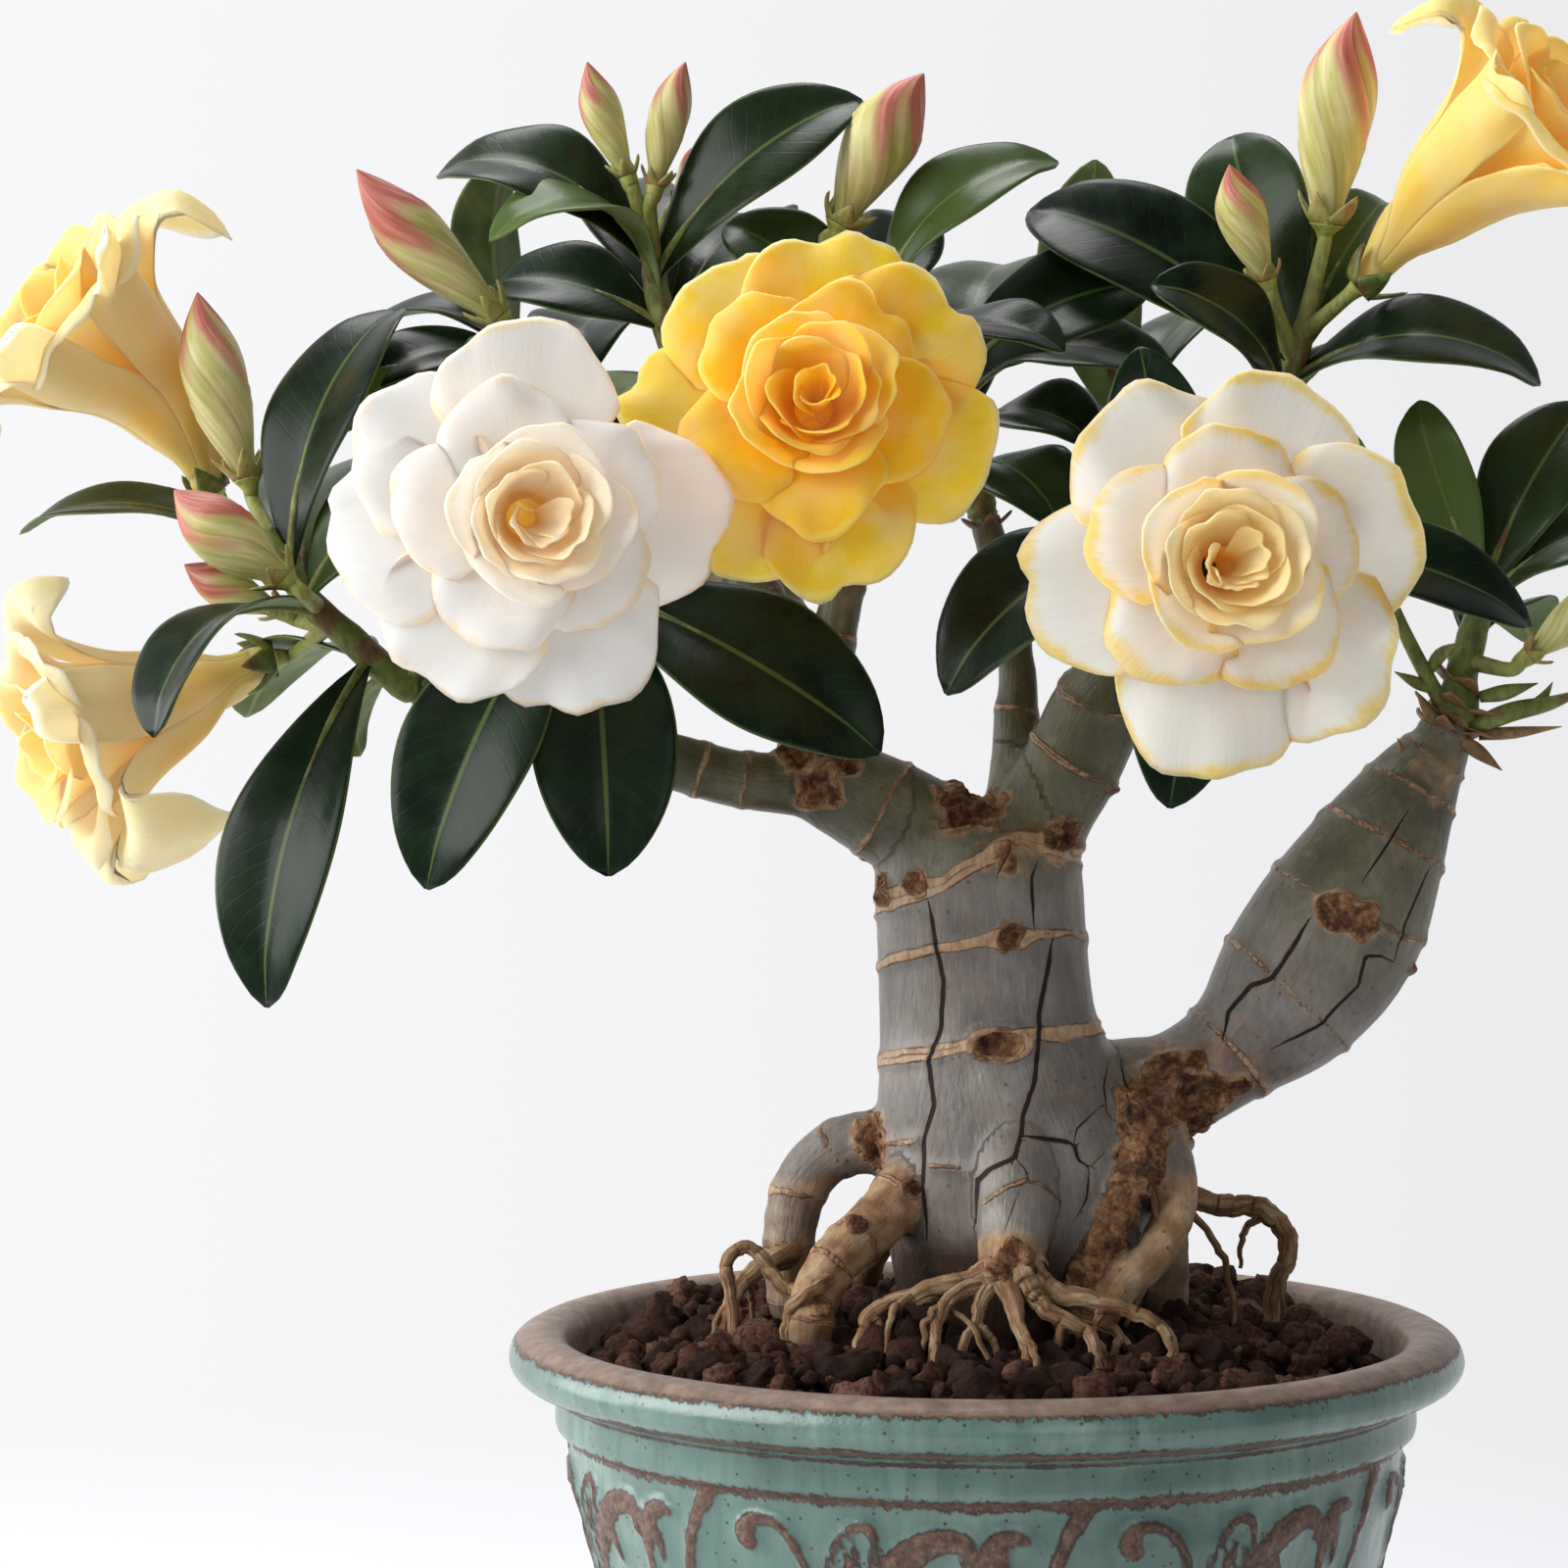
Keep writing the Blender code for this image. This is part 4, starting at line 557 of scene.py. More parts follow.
caudexSkin = dict(
    voxel=1.04, soften=9, sides=24, strandSides=26, hairSides=10, strandSteps=9,
    # Ring scars of the trunk: (x, z, half width) as they lie across its front
    trunkRings=[[(-26, 225, 2), (-22.6, 225.9, 2), (-17.2, 228.4, 2.3), (-11.7, 229.9, 2.1),
                 (-8.3, 230.8, 1.5), (-4.3, 233.6, 1.8), (-0.4, 235.6, 1.9), (2.6, 237.3, 2.2),
                 (6.6, 239.6, 1), (11, 238.3, 1.8), (15.5, 237.3, 1.8), (18.9, 235.9, 1.8),
                 (24, 235, 1.4)],
                [(-25, 213, 0.5), (-21.4, 214.1, 0.5), (-19.2, 215.5, 1.1), (-15.7, 216.7, 0.9),
                 (-10.8, 217.7, 1), (-4.3, 218.7, 0.9), (-0.4, 219.7, 1.2), (3.6, 219.9, 2.1),
                 (7.6, 219.9, 2.1), (10.5, 221, 0.9), (15.5, 221.1, 0.6), (19.9, 220, 0.6), (24, 219, 0.5)],
                [(-26, 194, 0.8), (-22.4, 194.8, 0.8), (-19.7, 196.1, 1.4), (-11.2, 197, 1.4),
                 (-5.3, 198.3, 1.2), (-2.3, 199, 1.6), (2.6, 201.8, 0.5), (10, 201, 1.2),
                 (15, 200.8, 1.6), (22.4, 202.2, 1.2), (27, 202, 1)]],
    faintRings=[[(-11, 174.8, 0.3), (-5, 174.2, 0.4), (-1.5, 173, 0.3)],
                [(-0.6, 166.5, 0.4), (4, 170.2, 0.6), (8.1, 171.6, 0.4), (12, 170.4, 0.3),
                 (15.1, 167, 0.3)],
                [(-28, 178, 0.3), (-17, 179, 0.4), (-12.6, 180, 0.3)]],
    # Ring scars of the branches: how far along each limb, in millimetres
    branchRings=dict(swollen=[44, 61, 83, 97, 110, 117, 121], left=[25.5], leftLong=[17, 27, 40, 55, 70],
                     leftUp=[9, 16], frontLeftBranch=[12, 24, 35], topLeft=[14, 27, 41, 53],
                     middle=[13, 26, 37], backLeft=[14, 28, 40], back=[15, 30, 42],
                     right=[13.5, 27, 41, 51], centre=[9, 20, 33, 47], rightUp=[12, 25, 38],
                     backRight=[14, 28, 41], frontLeft=[17, 30, 38, 48], arcLeft=[22, 34, 45, 56]),
    # Cracks as they are seen from the front: half width, then points (x, z)
    cracks=[(0.34, [(-11.5, 227.3), (-9.7, 218), (-8.2, 211.6), (-8.8, 201.9), (-11.3, 195.5),
                    (-10.3, 186.8), (-11.9, 180), (-12.1, 170.7), (-11.4, 160.4)]),
            (0.26, [(10.1, 235.1), (9.1, 232), (9.7, 222.1)]),
            (0.36, [(13.4, 220), (10.6, 204.4), (9.9, 190.8), (7.5, 184.6), (7.1, 181), (6, 176.3),
                    (0.9, 174), (-1.4, 171.6), (-2, 163)]),
            (0.34, [(7.1, 180.8), (17.8, 179.2), (18.6, 175.7), (20.7, 174.2)]),
            (0.16, [(20.7, 174.2), (23.3, 176.9)]), (0.16, [(17.8, 179.2), (18.4, 182.1), (23.3, 186.8)]),
            (0.22, [(6, 176.3), (8, 174), (8.4, 171.8)]), (0.14, [(6.2, 168.7), (4, 161.9)]),
            (0.16, [(20.7, 174.2), (20.2, 168), (18, 164)]),
            (0.16, [(24.6, 195.4), (23.6, 190.5), (24.2, 185.6), (25.6, 183.7)]),
            (0.14, [(26.9, 196.1), (28, 190), (29.1, 185.3)]), (0.24, [(2.4, 232.6), (4.6, 237.5)]),
            (0.22, [(83.8, 245.4), (79.3, 238.4), (74.9, 231.4)]),
            (0.36, [(64, 223.8), (61.1, 218.8), (57, 212), (52.5, 210.6), (48.1, 205.4), (47, 200)]),
            (0.24, [(81.1, 215.1), (78.5, 216.5), (75.4, 216.4), (74.1, 210.6), (65.9, 202.3), (57, 198)]),
            (0.18, [(88.2, 234.3), (83, 222.5), (81.1, 215.1)])],
    # Rough bark: the middle of each patch (x, y, z) and its reach
    barkPatches=[(-37, -8, 258, 6.5), (-33, -9, 250, 5.5), (-28, -9, 256, 4), (-4, -6, 245, 9),
                 (2, -14, 236, 5), (15, -14, 240.5, 5.5), (27, -8, 249, 3), (-15, -19, 231.6, 4),
                 (-21, -8, 230, 4),
                 (3.7, -20, 221.6, 3.6), (31, -10, 186, 8), (29, -17, 177, 6), (24, -20, 168, 5.5),
                 (41, -2, 184, 7), (35, -4, 194, 5.4), (40, -3, 189, 5.6), (45.5, -2, 189, 5),
                 (42, -2.5, 196, 3), (51, -1, 190.5, 2.6),
                 (-22, -4, 180, 6.2), (69, -6, 225.6, 5), (73.5, -5.6, 223.6, 4.6),
                 (87, 3, 213, 2.6), (4, -38, 159.5, 6.5), (-15, -21, 173, 2.6), (-26, -28, 167, 2.4),
                 (-33, -35, 152, 2.6), (9.5, 0, 272, 4), (12, 4, 262, 3)],
    # Places that are only scuffed and stained: the middle (x, y, z) and its reach
    scuffs=[(37, -3, 192, 15), (48, -2, 193, 13), (38, -4, 180, 9), (30, -8, 196, 7), (-24, -24, 170, 8),
            (-34, 0, 170, 8), (-38, 0, 156, 8), (90, 8, 252, 9), (4, -30, 166, 4), (8, -18, 240, 9)],
    ovalScar=(2.6, 198.6, 5.4, 3.0),            # the trunk's sunk scar: x and z, and half sizes in x and z
    forks=(0.5, 0.72), forkSeed=3,              # side roots of the thin roots, at these shares of them
    # Where along each root its skin turns from grey to tan, and how tan it gets
    tanning=dict(arcLeft=(4, 60, 0.65), frontLeft=(6, 16, 0.9), front=(30, 37, 1), rightRoot=(8, 24, 0.85),
                 rightBark=(-2, -1, 1), rightFoot=(4, 20, 0.6), backRightRoot=(6, 26, 0.8),
                 backLeftRoot=(6, 26, 0.8)),
)


def limbLookup(points):
    # for each point: the number of the nearest limb, how far along it, its radius and how far off it
    rows = []
    for number, limb in enumerate(caudexLimbs.values()):
        path = smoothPath(limb, 6)
        heading = unit(np.gradient(path[:, :3], axis=0))
        rows.append(np.column_stack([path, heading, arcLengths(path[:, :3]), np.full(len(path), number)]))
    rows = np.vstack(rows)
    best = np.empty(len(points), int)
    for block in blocks(len(points)):
        gaps = np.linalg.norm(points[block, None] - rows[None, :, :3], axis=2) - rows[None, :, 3]
        best[block] = gaps.argmin(axis=1)
    spine, girth, heading, arc, limb = np.split(rows[best], (3, 4, 7, 8), axis=1)
    ahead = ((points - spine) * heading).sum(axis=1)
    return limb[:, 0].astype(int), arc[:, 0] + ahead, girth[:, 0], points - spine - heading * ahead[:, None]


def lineField(x, z, lines):
    # signed distance from each place to the nearest line, in half widths, and the plain distance in mm
    signed, near = np.full(len(x), 20.0), np.full(len(x), 20.0)
    for half, line in lines:
        arc = arcLengths(np.array(line, float))
        for (x0, z0), (x1, z1), start, stop in zip(line, line[1:], arc, arc[1:]):
            run = np.array([x1 - x0, z1 - z0])
            share = np.clip(((x - x0) * run[0] + (z - z0) * run[1]) / (run @ run), 0, 1)
            gap = np.hypot(x - x0 - share * run[0], z - z0 - share * run[1])
            side = np.sign((x - x0) * run[1] - (z - z0) * run[0])
            place = start + share * (stop - start)
            taper = 0.35 + 0.65 * ease(0, 5, place) * ease(0, 7, arc[-1] - place)
            closer = gap < near
            near[closer] = gap[closer]
            signed[closer] = (side * gap / (half * taper))[closer]
    return signed, near


def woodyBark():
    # smooth grey skin going olive up the branches, tan ring scars, dark cracks, and rough corky bark
    finish = Finish("woodyBark", 0.5, Specular_IOR_Level=0.5)
    ring, middle, crack, crackNear = finish.marks("ring", "ringMiddle", "crack", "crackNear")
    root, olive, rough, strand, thin = finish.marks("root", "olive", "rough", "strand", "thin")
    fibre = finish.noise(1000, 4, finish.join(*finish.marks("grainX", "grainY", "grainZ")), 0.6)
    clouds, patches = finish.noise(15, 4), finish.noise(5, 4)
    fine = finish.noise(1.4, 4, finish.stretch(0.35), 0.65)
    grey = clouds.ramp((0.3, 112, 105, 99), (0.5, 136, 129, 123), (0.7, 160, 153, 147))
    green = clouds.ramp((0.3, 72, 70, 46), (0.5, 97, 95, 68), (0.72, 126, 122, 94))
    tan = patches.ramp((0.3, 142, 104, 70), (0.5, 180, 146, 108), (0.72, 208, 184, 148))
    skin = finish.mix((root + patches * 0.5).fade(0.4, 1.1), finish.mix(olive, grey, green), tan)
    skin = finish.mix(fine.fade(0.3, 0.8, 0.32, 0), skin, (92, 80, 70), "MULTIPLY")
    skin = finish.mix(patches.fade(0.55, 0.75, 0, 0.22), skin, (170, 144, 116))
    skin = finish.mix(finish.cells(4.2).fade(0.06, 0.13, 0.7, 0), skin, (84, 56, 40))
    # the roots are fibrous; the strand mark paints shade into the creases of the thin roots, and painted
    # shade with soil stain low on the trunk
    skin = finish.mix(fibre.fade(0.4, 0.56, 0.75, 0) * root * thin, skin, (122, 78, 44))
    skin = finish.mix(strand.fade(0.1, 0.9, 0, 0.85), skin, (74, 44, 24))
    # soil stain and painted shade on the foot of the trunk, between the roots, darker towards the bottom
    foot = finish.height() + (patches - 0.5) * (14 * mm)
    skin = finish.mix(foot.fade(150 * mm, 168 * mm, 0.92, 0) * (1 - root), skin, (52, 36, 27))
    # stained places round the corky bark
    stain = (rough + finish.noise(3.4, 4, rough=0.65) * 0.7).fade(0.52, 0.8, 0, 0.8)
    skin = finish.mix(stain, skin, patches.ramp((0.35, 120, 82, 54), (0.65, 180, 144, 108)))
    # ring scars: a tan band with brown lines along its edges and a crease inside
    wander = (patches - 0.5) + (fine - 0.5) * 0.7
    edge = ring + wander
    band = edge.fade(-0.12, 0.3, 1, 0)
    line = abs(edge).fade(0.08, 0.34, 1, 0) * finish.noise(4.5).fade(0.38, 0.6)
    crease = abs(middle + wander).fade(0.05, 0.25, 1, 0) * band
    line = line.larger(crease * clouds.fade(0.45, 0.6))
    skin = finish.mix(band * 0.85, skin,
                      fine.ramp((0.3, 150, 108, 72), (0.5, 188, 150, 112), (0.7, 206, 176, 140)))
    skin = finish.mix(line * 0.8, skin, (82, 48, 28))
    # corky bark: crumbs of tan and brown with dark pits, darkest in the middle of a knot
    pits = finish.noise(3.8, 3, rough=0.6, warp=0.8)
    cork = pits * 0.5 + finish.noise(1.7, 5, rough=0.72) * 0.5
    shows = (rough + pits * 0.7).fade(0.82, 1)
    skin = finish.mix(shows, skin, (cork - rough.fade(0.7, 1, 0, 0.05)).ramp(
        (0.32, 38, 23, 15), (0.42, 96, 62, 38), (0.5, 146, 102, 66), (0.64, 204, 164, 122)))
    skin = finish.mix(abs(shows - 0.5).fade(0.2, 0.5, 0.6, 0), skin, (206, 168, 124))
    # cracks, with a worn lip on each side
    gap = abs(crack + (fine - 0.5) * 1.2)
    split = gap.fade(1, 1.6, 1, 0) * crackNear.fade(0.7, 1.1, 1, 0)
    skin = finish.mix(gap.fade(1.5, 3.6, 0.5, 0) * crackNear.fade(0.9, 1.6, 1, 0), skin, (122, 98, 80))
    skin = finish.mix(split, skin, (20, 13, 10))
    height = fine * 0.22 + shows * cork * 4.5 + fibre * thin * 1.6 - split.larger(line) * 0.25 + band * 0.5
    return finish.feed(Base_Color=skin, Roughness=shows.larger(root).larger(split).fade(0, 1, 0.4, 0.85),
                       Normal=finish.bump(height, 0.8, 0.8))


def meltLimbs():  # the limbs as one closed skin
    limbs = Parts()
    for points in caudexLimbs.values():
        limbs.add(*sweep(smoothPath(points, 4), caudexSkin["sides"])[:2])
    raw = limbs.piece("limbs")
    melt = raw.modifiers.new("melt", "REMESH")
    melt.mode, melt.voxel_size = "VOXEL", caudexSkin["voxel"] * mm
    soften = raw.modifiers.new("soften", "SMOOTH")
    soften.factor, soften.iterations = 0.5, caudexSkin["soften"]
    body = workedOut(raw)
    return readRows(body, "co") / mm, readRows(body, "normal"), readFaces(body)


def patchField(spots, places, outer, inner):  # 1 in patches with ragged edges
    field, uneven = np.zeros(len(spots)), grain(spots, 3.4, 6, 2)
    for x, y, z, reach in places:
        gap = np.linalg.norm((spots - (x, y, z)) * (1, 0.6, 1), axis=1) + 0.3 * reach * uneven
        field = np.maximum(field, ease(reach * outer, reach * inner, gap))
    return field


def addThinRoots(skin):
    strands, steps = dict(thinRoots), caudexSkin["strandSteps"]
    rng = np.random.default_rng(caudexSkin["forkSeed"])
    for name, points in thinRoots.items():
        if name.startswith("front") or name in ("farRight", "arcFine"):
            for number, place in enumerate(caudexSkin["forks"]):
                start = smoothPath(points, steps)[int(place * (len(points) - 1) * steps)]
                side = rng.uniform(-1, 1, 2) * 5 + (0, -2.5)
                strands[f"{name}Fork{number}"] = [(*start[:3], start[3] * 0.7)] + [
                    (*(start[:3] + (out * side[0], along * side[1], down)), radius)
                    for out, along, down, radius in
                    ((0.5, 0.5, -1.2, 0.9), (1, 1, -4, 0.7), (1.2, 1, -11, 0.4))]
    for number, (name, points) in enumerate(strands.items()):
        path = smoothPath(points, steps)
        sides = caudexSkin["hairSides" if name.startswith("hair") or "Fork" in name else "strandSides"]
        rows = np.arange(len(path))
        line = np.column_stack([rows * 1.0] * 3)
        wander = np.column_stack([grain(line, 6, 20 + number + axis) for axis in range(3)])
        path[:, :3] += 0.6 * wander * ease(0, 8, rows)[:, None]
        reach = arcLengths(path[:, :3])[:, None]
        turn = (np.arange(sides) * math.tau / sides)[None] + 0.09 * reach + 0.5 * np.sin(reach / 5 + number)
        ridges = (0.5 * np.cos(3 * turn + number) + 0.35 * np.cos(5 * turn + 2 * number)
                  + 0.3 * np.cos(8 * turn))
        knobs = grain(np.column_stack([reach[:, 0]] * 3), 3.5, 11 + number)
        verts, faceLists, _, angles = sweep(path, sides, 1 + 0.13 * ridges + 0.1 * knobs[:, None])
        # painted shade: the creases between each strand's ridges are darkened through the strand mark
        crease = np.append(np.clip(-0.8 * ridges - 0.1, 0, 0.8).ravel(), [0, 0])
        lap = np.append(np.repeat(0.12 * reach[:, 0] + 7 * number, sides), [0, 0])
        skin.add(verts, faceLists, ring=20, ringMiddle=20, crack=20, crackNear=20, root=1, olive=0,
                 rough=0.12, strand=crease, grainX=2.4 * np.cos(angles), grainY=2.4 * np.sin(angles),
                 grainZ=lap, thin=1)


def makeCaudex():
    spots, normals, faces = meltLimbs()
    print("    melted", len(spots), "points")
    limb, arc, girth, across = limbLookup(spots)
    isLimb = {name: limb == number for number, name in enumerate(caudexLimbs)}
    torso = isLimb["trunk"] | isLimb["stump"] | isLimb["left"] | isLimb["right"] | isLimb["front"]
    x, y, z = spots.T
    shownX, shownZ = (eye + (place - eye) / (1 + y / eyeDistance) for eye, place in ((eyeX, x), (eyeZ, z)))
    wavy = grain(spots, 9, 5)
    ring, middle = np.full(len(spots), 20.0), np.full(len(spots), 20.0)

    def markRing(gap, half):  # keeps the nearest ring's edge distance and offset at each point
        edge = np.abs(gap) - half
        closer = edge < ring
        ring[closer], middle[closer] = edge[closer], gap[closer]

    for kind in ("trunkRings", "faintRings"):
        for line in caudexSkin[kind]:
            lineX, lineZ, lineHalf = np.array(line).T
            gap = shownZ - np.interp(shownX, lineX, lineZ) + 0.35 * wavy
            over = 0 if kind == "faintRings" else 3
            outside = ~torso | (shownX < lineX[0] - over) | (shownX > lineX[-1] + over)
            outside |= (kind == "faintRings") & (y > 0)
            markRing(np.where(outside, 40, gap), np.interp(shownX, lineX, lineHalf))
    for name, places in caudexSkin["branchRings"].items():
        turn = np.arctan2(y - y[isLimb[name]].mean(), x - x[isLimb[name]].mean())
        faint = 0.6 if name == "swollen" else 1.0
        for number, place in enumerate(places):
            gap = arc - place + 1.2 * np.sin(turn + number * 1.9) + 0.6 * wavy
            uneven = 0.35 + 0.35 * (0.5 + 0.5 * np.sin(2 * turn + number)) * np.clip(girth / 8, 0.4, 1.4)
            markRing(np.where(isLimb[name], gap, 40), faint * uneven)
    facing = normals[:, 1] < -0.08
    crack, crackNear = lineField(shownX + 0.35 * wavy, shownZ, caudexSkin["cracks"])
    crackNear = np.where(facing, crackNear, 20)
    scarX, scarZ, scarWide, scarHigh = caudexSkin["ovalScar"]
    scar = np.where(facing, np.hypot((shownX - scarX) / scarWide, (shownZ - scarZ) / scarHigh), 9)
    markRing(np.where(scar < 2, (scar - 1.12) * 4, 40), 0.5)

    root = np.zeros(len(spots))
    for name, (start, stop, most) in caudexSkin["tanning"].items():
        root[isLimb[name]] = most * ease(start, stop, arc[isLimb[name]])
    olive = ease(226, 246, z) * ~isLimb["stump"]
    olive[isLimb["swollen"]] = ease(50, 90, arc[isLimb["swollen"]]) * 0.85
    rough = np.maximum(patchField(spots, caudexSkin["barkPatches"], 1.15, 0.5),
                       0.34 * patchField(spots, caudexSkin["scuffs"], 1.2, 0.3))
    rough[isLimb["stump"]] = 1
    rough[isLimb["rightBark"]] = np.maximum(rough[isLimb["rightBark"]], 0.75)
    # painted shade with soil stain: the foot of the trunk and of the roots darkens towards the soil, carried
    # in the strand mark
    soilStainAndShade = np.where(torso | isLimb["rightBark"], ease(167, 155, z + 1.5 * wavy), 0.7 * ease(152, 144, z))

    # rings stand out, cracks sink in, bark is crumbly with a hollow in each big knot, the oval scar is a cup
    lumps, crumbs = grain(spots, 30, 1, 2), grain(spots, 3.0, 2, 3)
    knot = rough * (rough > 0.35)
    push = 0.35 * lumps * ease(3, 12, girth) + 0.12 * wavy
    push += 0.5 * np.exp(-((ring + 0.2) / 0.8) ** 2) * np.clip(girth / 9, 0.35, 1.1)
    push -= 0.15 * np.exp(-(crackNear / 0.6) ** 2)
    push += knot * (1.0 + 1.7 * crumbs) - 1.2 * ease(0.85, 1.0, knot) * (girth > 8)
    push += 0.9 * np.exp(-((scar - 1.12) / 0.2) ** 2) - 1.9 * ease(1.05, 0.6, scar)
    push += root * 0.4 * crumbs
    skin = Parts()
    skin.add(spots + normals * push[:, None], [faces], ring=ring, ringMiddle=middle, crack=crack,
             crackNear=crackNear, root=root, olive=olive, rough=np.maximum(rough, ease(1.1, 0.8, scar)),
             strand=soilStainAndShade, grainX=across[:, 0], grainY=across[:, 1] + across[:, 2],
             grainZ=0.14 * arc + 31.0 * limb, thin=0.3)
    addThinRoots(skin)
    settle(skin.piece("caudexBark", woodyBark()), "caudex")


makeCaudex()
print("caudex melted, ringed and cracked")


# Soil: a dark mound in the pot under loose lava stones

soilShape = dict(
    edgeDrop=4.5, mound=7.0, moundRadius=82, bed=6, seed=7,      # bed is its depth under the stones' level
    heaps=[(51, 60, 5.5, 22), (-60, 30, 2.5, 26), (-50, -45, 1.5, 20)],     # x, y, height, reach
    sides=96, rings=26, edge=80.5, flank=[(76.5, 116), (45, 10.3)],     # flank: radius and height down it
    pitch=7.2, rows=13, reach=78, trunk=21, stoneSize=(2.1, 5.1), sink=1.5,
    grits=580, gritReach=76, gritSize=(0.9, 2.2), facets=9, lumps=0.34,
)


def soilLevel(x, y):
    share = np.minimum(np.hypot(x, y) / soilShape["moundRadius"], 1)
    level = rimHeight - soilShape["edgeDrop"] + soilShape["mound"] * (1 - share ** 2)
    for heapX, heapY, height, reach in soilShape["heaps"]:
        level = level + height * np.exp(-((x - heapX) ** 2 + (y - heapY) ** 2) / reach ** 2)
    return level


def lavaStone():
    finish = Finish("lavaStone", 0.95, Specular_IOR_Level=0.25)
    pores = finish.noise(1.1, 5, rough=0.7)
    stone = finish.marks("tone")[0].ramp((0, 20, 11, 8), (0.3, 56, 32, 23),
                                         (0.75, 96, 60, 46), (1, 132, 92, 74))
    stone = finish.mix(pores.fade(0.35, 0.6, 0.8, 0), stone, (30, 18, 16))
    stone = finish.mix(finish.noise(7).fade(0.5, 0.8, 0, 0.25), stone, (128, 98, 82))
    return finish.feed(Base_Color=stone, Normal=finish.bump(pores, 1.0, 1.3))


def stoneBall(subdivisions):
    bpy.ops.mesh.primitive_ico_sphere_add(subdivisions=subdivisions, radius=1)
    ball = bpy.context.object
    verts = np.array([vertex.co[:] for vertex in ball.data.vertices])
    faces = readFaces(ball.data)
    bpy.data.objects.remove(ball)
    return verts, faces


def scatterStones(name, ball, places, sizes, rng, material):
    # a ball for each stone: turned, stretched, cut flat in several places and made lumpy
    stones = Parts()
    corners, faces = ball
    for place, size in zip(places, sizes):
        turn, _ = np.linalg.qr(rng.normal(size=(3, 3)))
        turn *= np.sign(np.linalg.det(turn))
        shape = corners * rng.uniform(0.78, 1.22, 3)
        for facet in unit(rng.normal(size=(soilShape["facets"], 3))):
            over = np.maximum(shape @ facet - rng.uniform(0.55, 0.9), 0)
            shape = shape - 0.85 * over[:, None] * facet
        lumps = grain(shape + rng.uniform(-50, 50, 3), 0.55, 4, 4)
        shape = (shape * (1.08 + soilShape["lumps"] * lumps)[:, None]) @ turn.T
        # painted shade: stones and grit are given a darker tone in the shelter of the roots
        light = ease(20, 46, math.hypot(place[0] - 5, place[1] + 8))   # darker in the shelter of the roots
        stones.add(place + shape * size, [faces], tone=rng.uniform(0.15, 1) * (0.25 + 0.75 * light))
    settle(stones.piece(name, material), "soil")


def makeMound(material):
    angles = np.arange(soilShape["sides"]) * math.tau / soilShape["sides"]
    flankRadii, flankHeights = zip(*soilShape["flank"])
    radii = np.concatenate([np.linspace(0, 1, soilShape["rings"])[1:] * soilShape["edge"], flankRadii])
    x, y = radii[:, None] * np.cos(angles), radii[:, None] * np.sin(angles)
    bumps = grain(np.stack([x, y, 0 * x], -1).reshape(-1, 3), 8).reshape(x.shape)
    z = soilLevel(x, y) - soilShape["bed"] + 1.5 * bumps
    z[-3], z[-2], z[-1] = rimHeight - soilShape["edgeDrop"] - 4, *flankHeights
    rows, columns = x.shape
    verts = np.vstack([np.stack([x, y, z], -1).reshape(-1, 3),
                       (0, 0, rimHeight - 2), (0, 0, flankHeights[-1])])
    index = np.arange(rows * columns).reshape(rows, columns)
    after = np.roll(index, -1, axis=1)
    quads = np.stack([index[:-1], index[1:], after[1:], after[:-1]], -1).reshape(-1, 4)
    caps = ([(rows * columns, index[0, j], after[0, j]) for j in range(columns)]
            + [(rows * columns + 1, after[-1, j], index[-1, j]) for j in range(columns)])
    mound = Parts()
    mound.add(verts, [quads, caps], tone=0.0)
    settle(mound.piece("soilMound", material), "soil")


def makeSoil():
    material, pitch, rows = lavaStone(), soilShape["pitch"], range(-soilShape["rows"], soilShape["rows"] + 1)
    rng = np.random.default_rng(soilShape["seed"])
    makeMound(material)
    places = []
    for row in rows:
        for column in rows:
            x = (column + 0.5 * (row % 2) + rng.uniform(-0.28, 0.28)) * pitch
            y = (row * 0.87 + rng.uniform(-0.28, 0.28)) * pitch
            radius = math.hypot(x, y)
            if radius < soilShape["reach"] and math.hypot(x - 5, y) > soilShape["trunk"]:
                sunk = soilShape["sink"] + 3.5 * float(ease(70, 80, radius))
                places.append((x, y, float(soilLevel(x, y)) - sunk + rng.uniform(-3.0, 1.8)))
    small, large = soilShape["stoneSize"]
    sizes = small + (large - small) * rng.uniform(0, 1, len(places)) ** 1.5
    scatterStones("lavaStones", stoneBall(3), np.array(places), sizes, rng, material)
    count, reach = soilShape["grits"], soilShape["gritReach"]
    spread, turn = reach * np.sqrt(rng.uniform(0.06, 1, count)), rng.uniform(0, math.tau, count)
    x, y = spread * np.cos(turn), spread * np.sin(turn)
    z = soilLevel(x, y) + rng.uniform(-2.4, 0.9, count) - 3 * ease(68, reach, spread)
    scatterStones("lavaGrit", stoneBall(2), np.column_stack([x, y, z]),
                  rng.uniform(*soilShape["gritSize"], count), rng, material)


makeSoil()
print("soil filled and scattered with stones")


# Blooms: whorls of petals round a corolla tube, each bloom in a frame whose third axis looks out of it

petalShape = dict(
    rows=18, columns=25, thickness=0.42, tubeSides=48, tubeThickness=0.6,
    # From the outer whorl inwards: how far the corners are rounded off, how soon, and extra width
    corner=[0.24, 0.3, 0.42, 0.46, 0.5, 0.4], power=[3.2, 2.6, 2.3, 2.2, 2.2, 2.2],
    widen=[1.1, 1.22, 1.3, 1.3, 1.3, 1.2],
    ruffle=[1.5, 1.2, 0.8, 0.8, 0.8, 0.9],      # waves of the rim
    curl=[1.6, 3.2, 2.4, 1.8, 1.2, 0.8],        # how far the rim rolls back
)


def petal(foot, bend, rim, spread, narrow, hollow, tilt, claw=0.0, spiral=0.0):
    # foot, bend and rim are (radius, height) along the middle line of every petal of a whorl
    return dict(foot=foot, bend=bend, rim=rim, spread=spread, narrow=narrow, hollow=hollow,
                tilt=tilt, claw=claw, spiral=spiral)


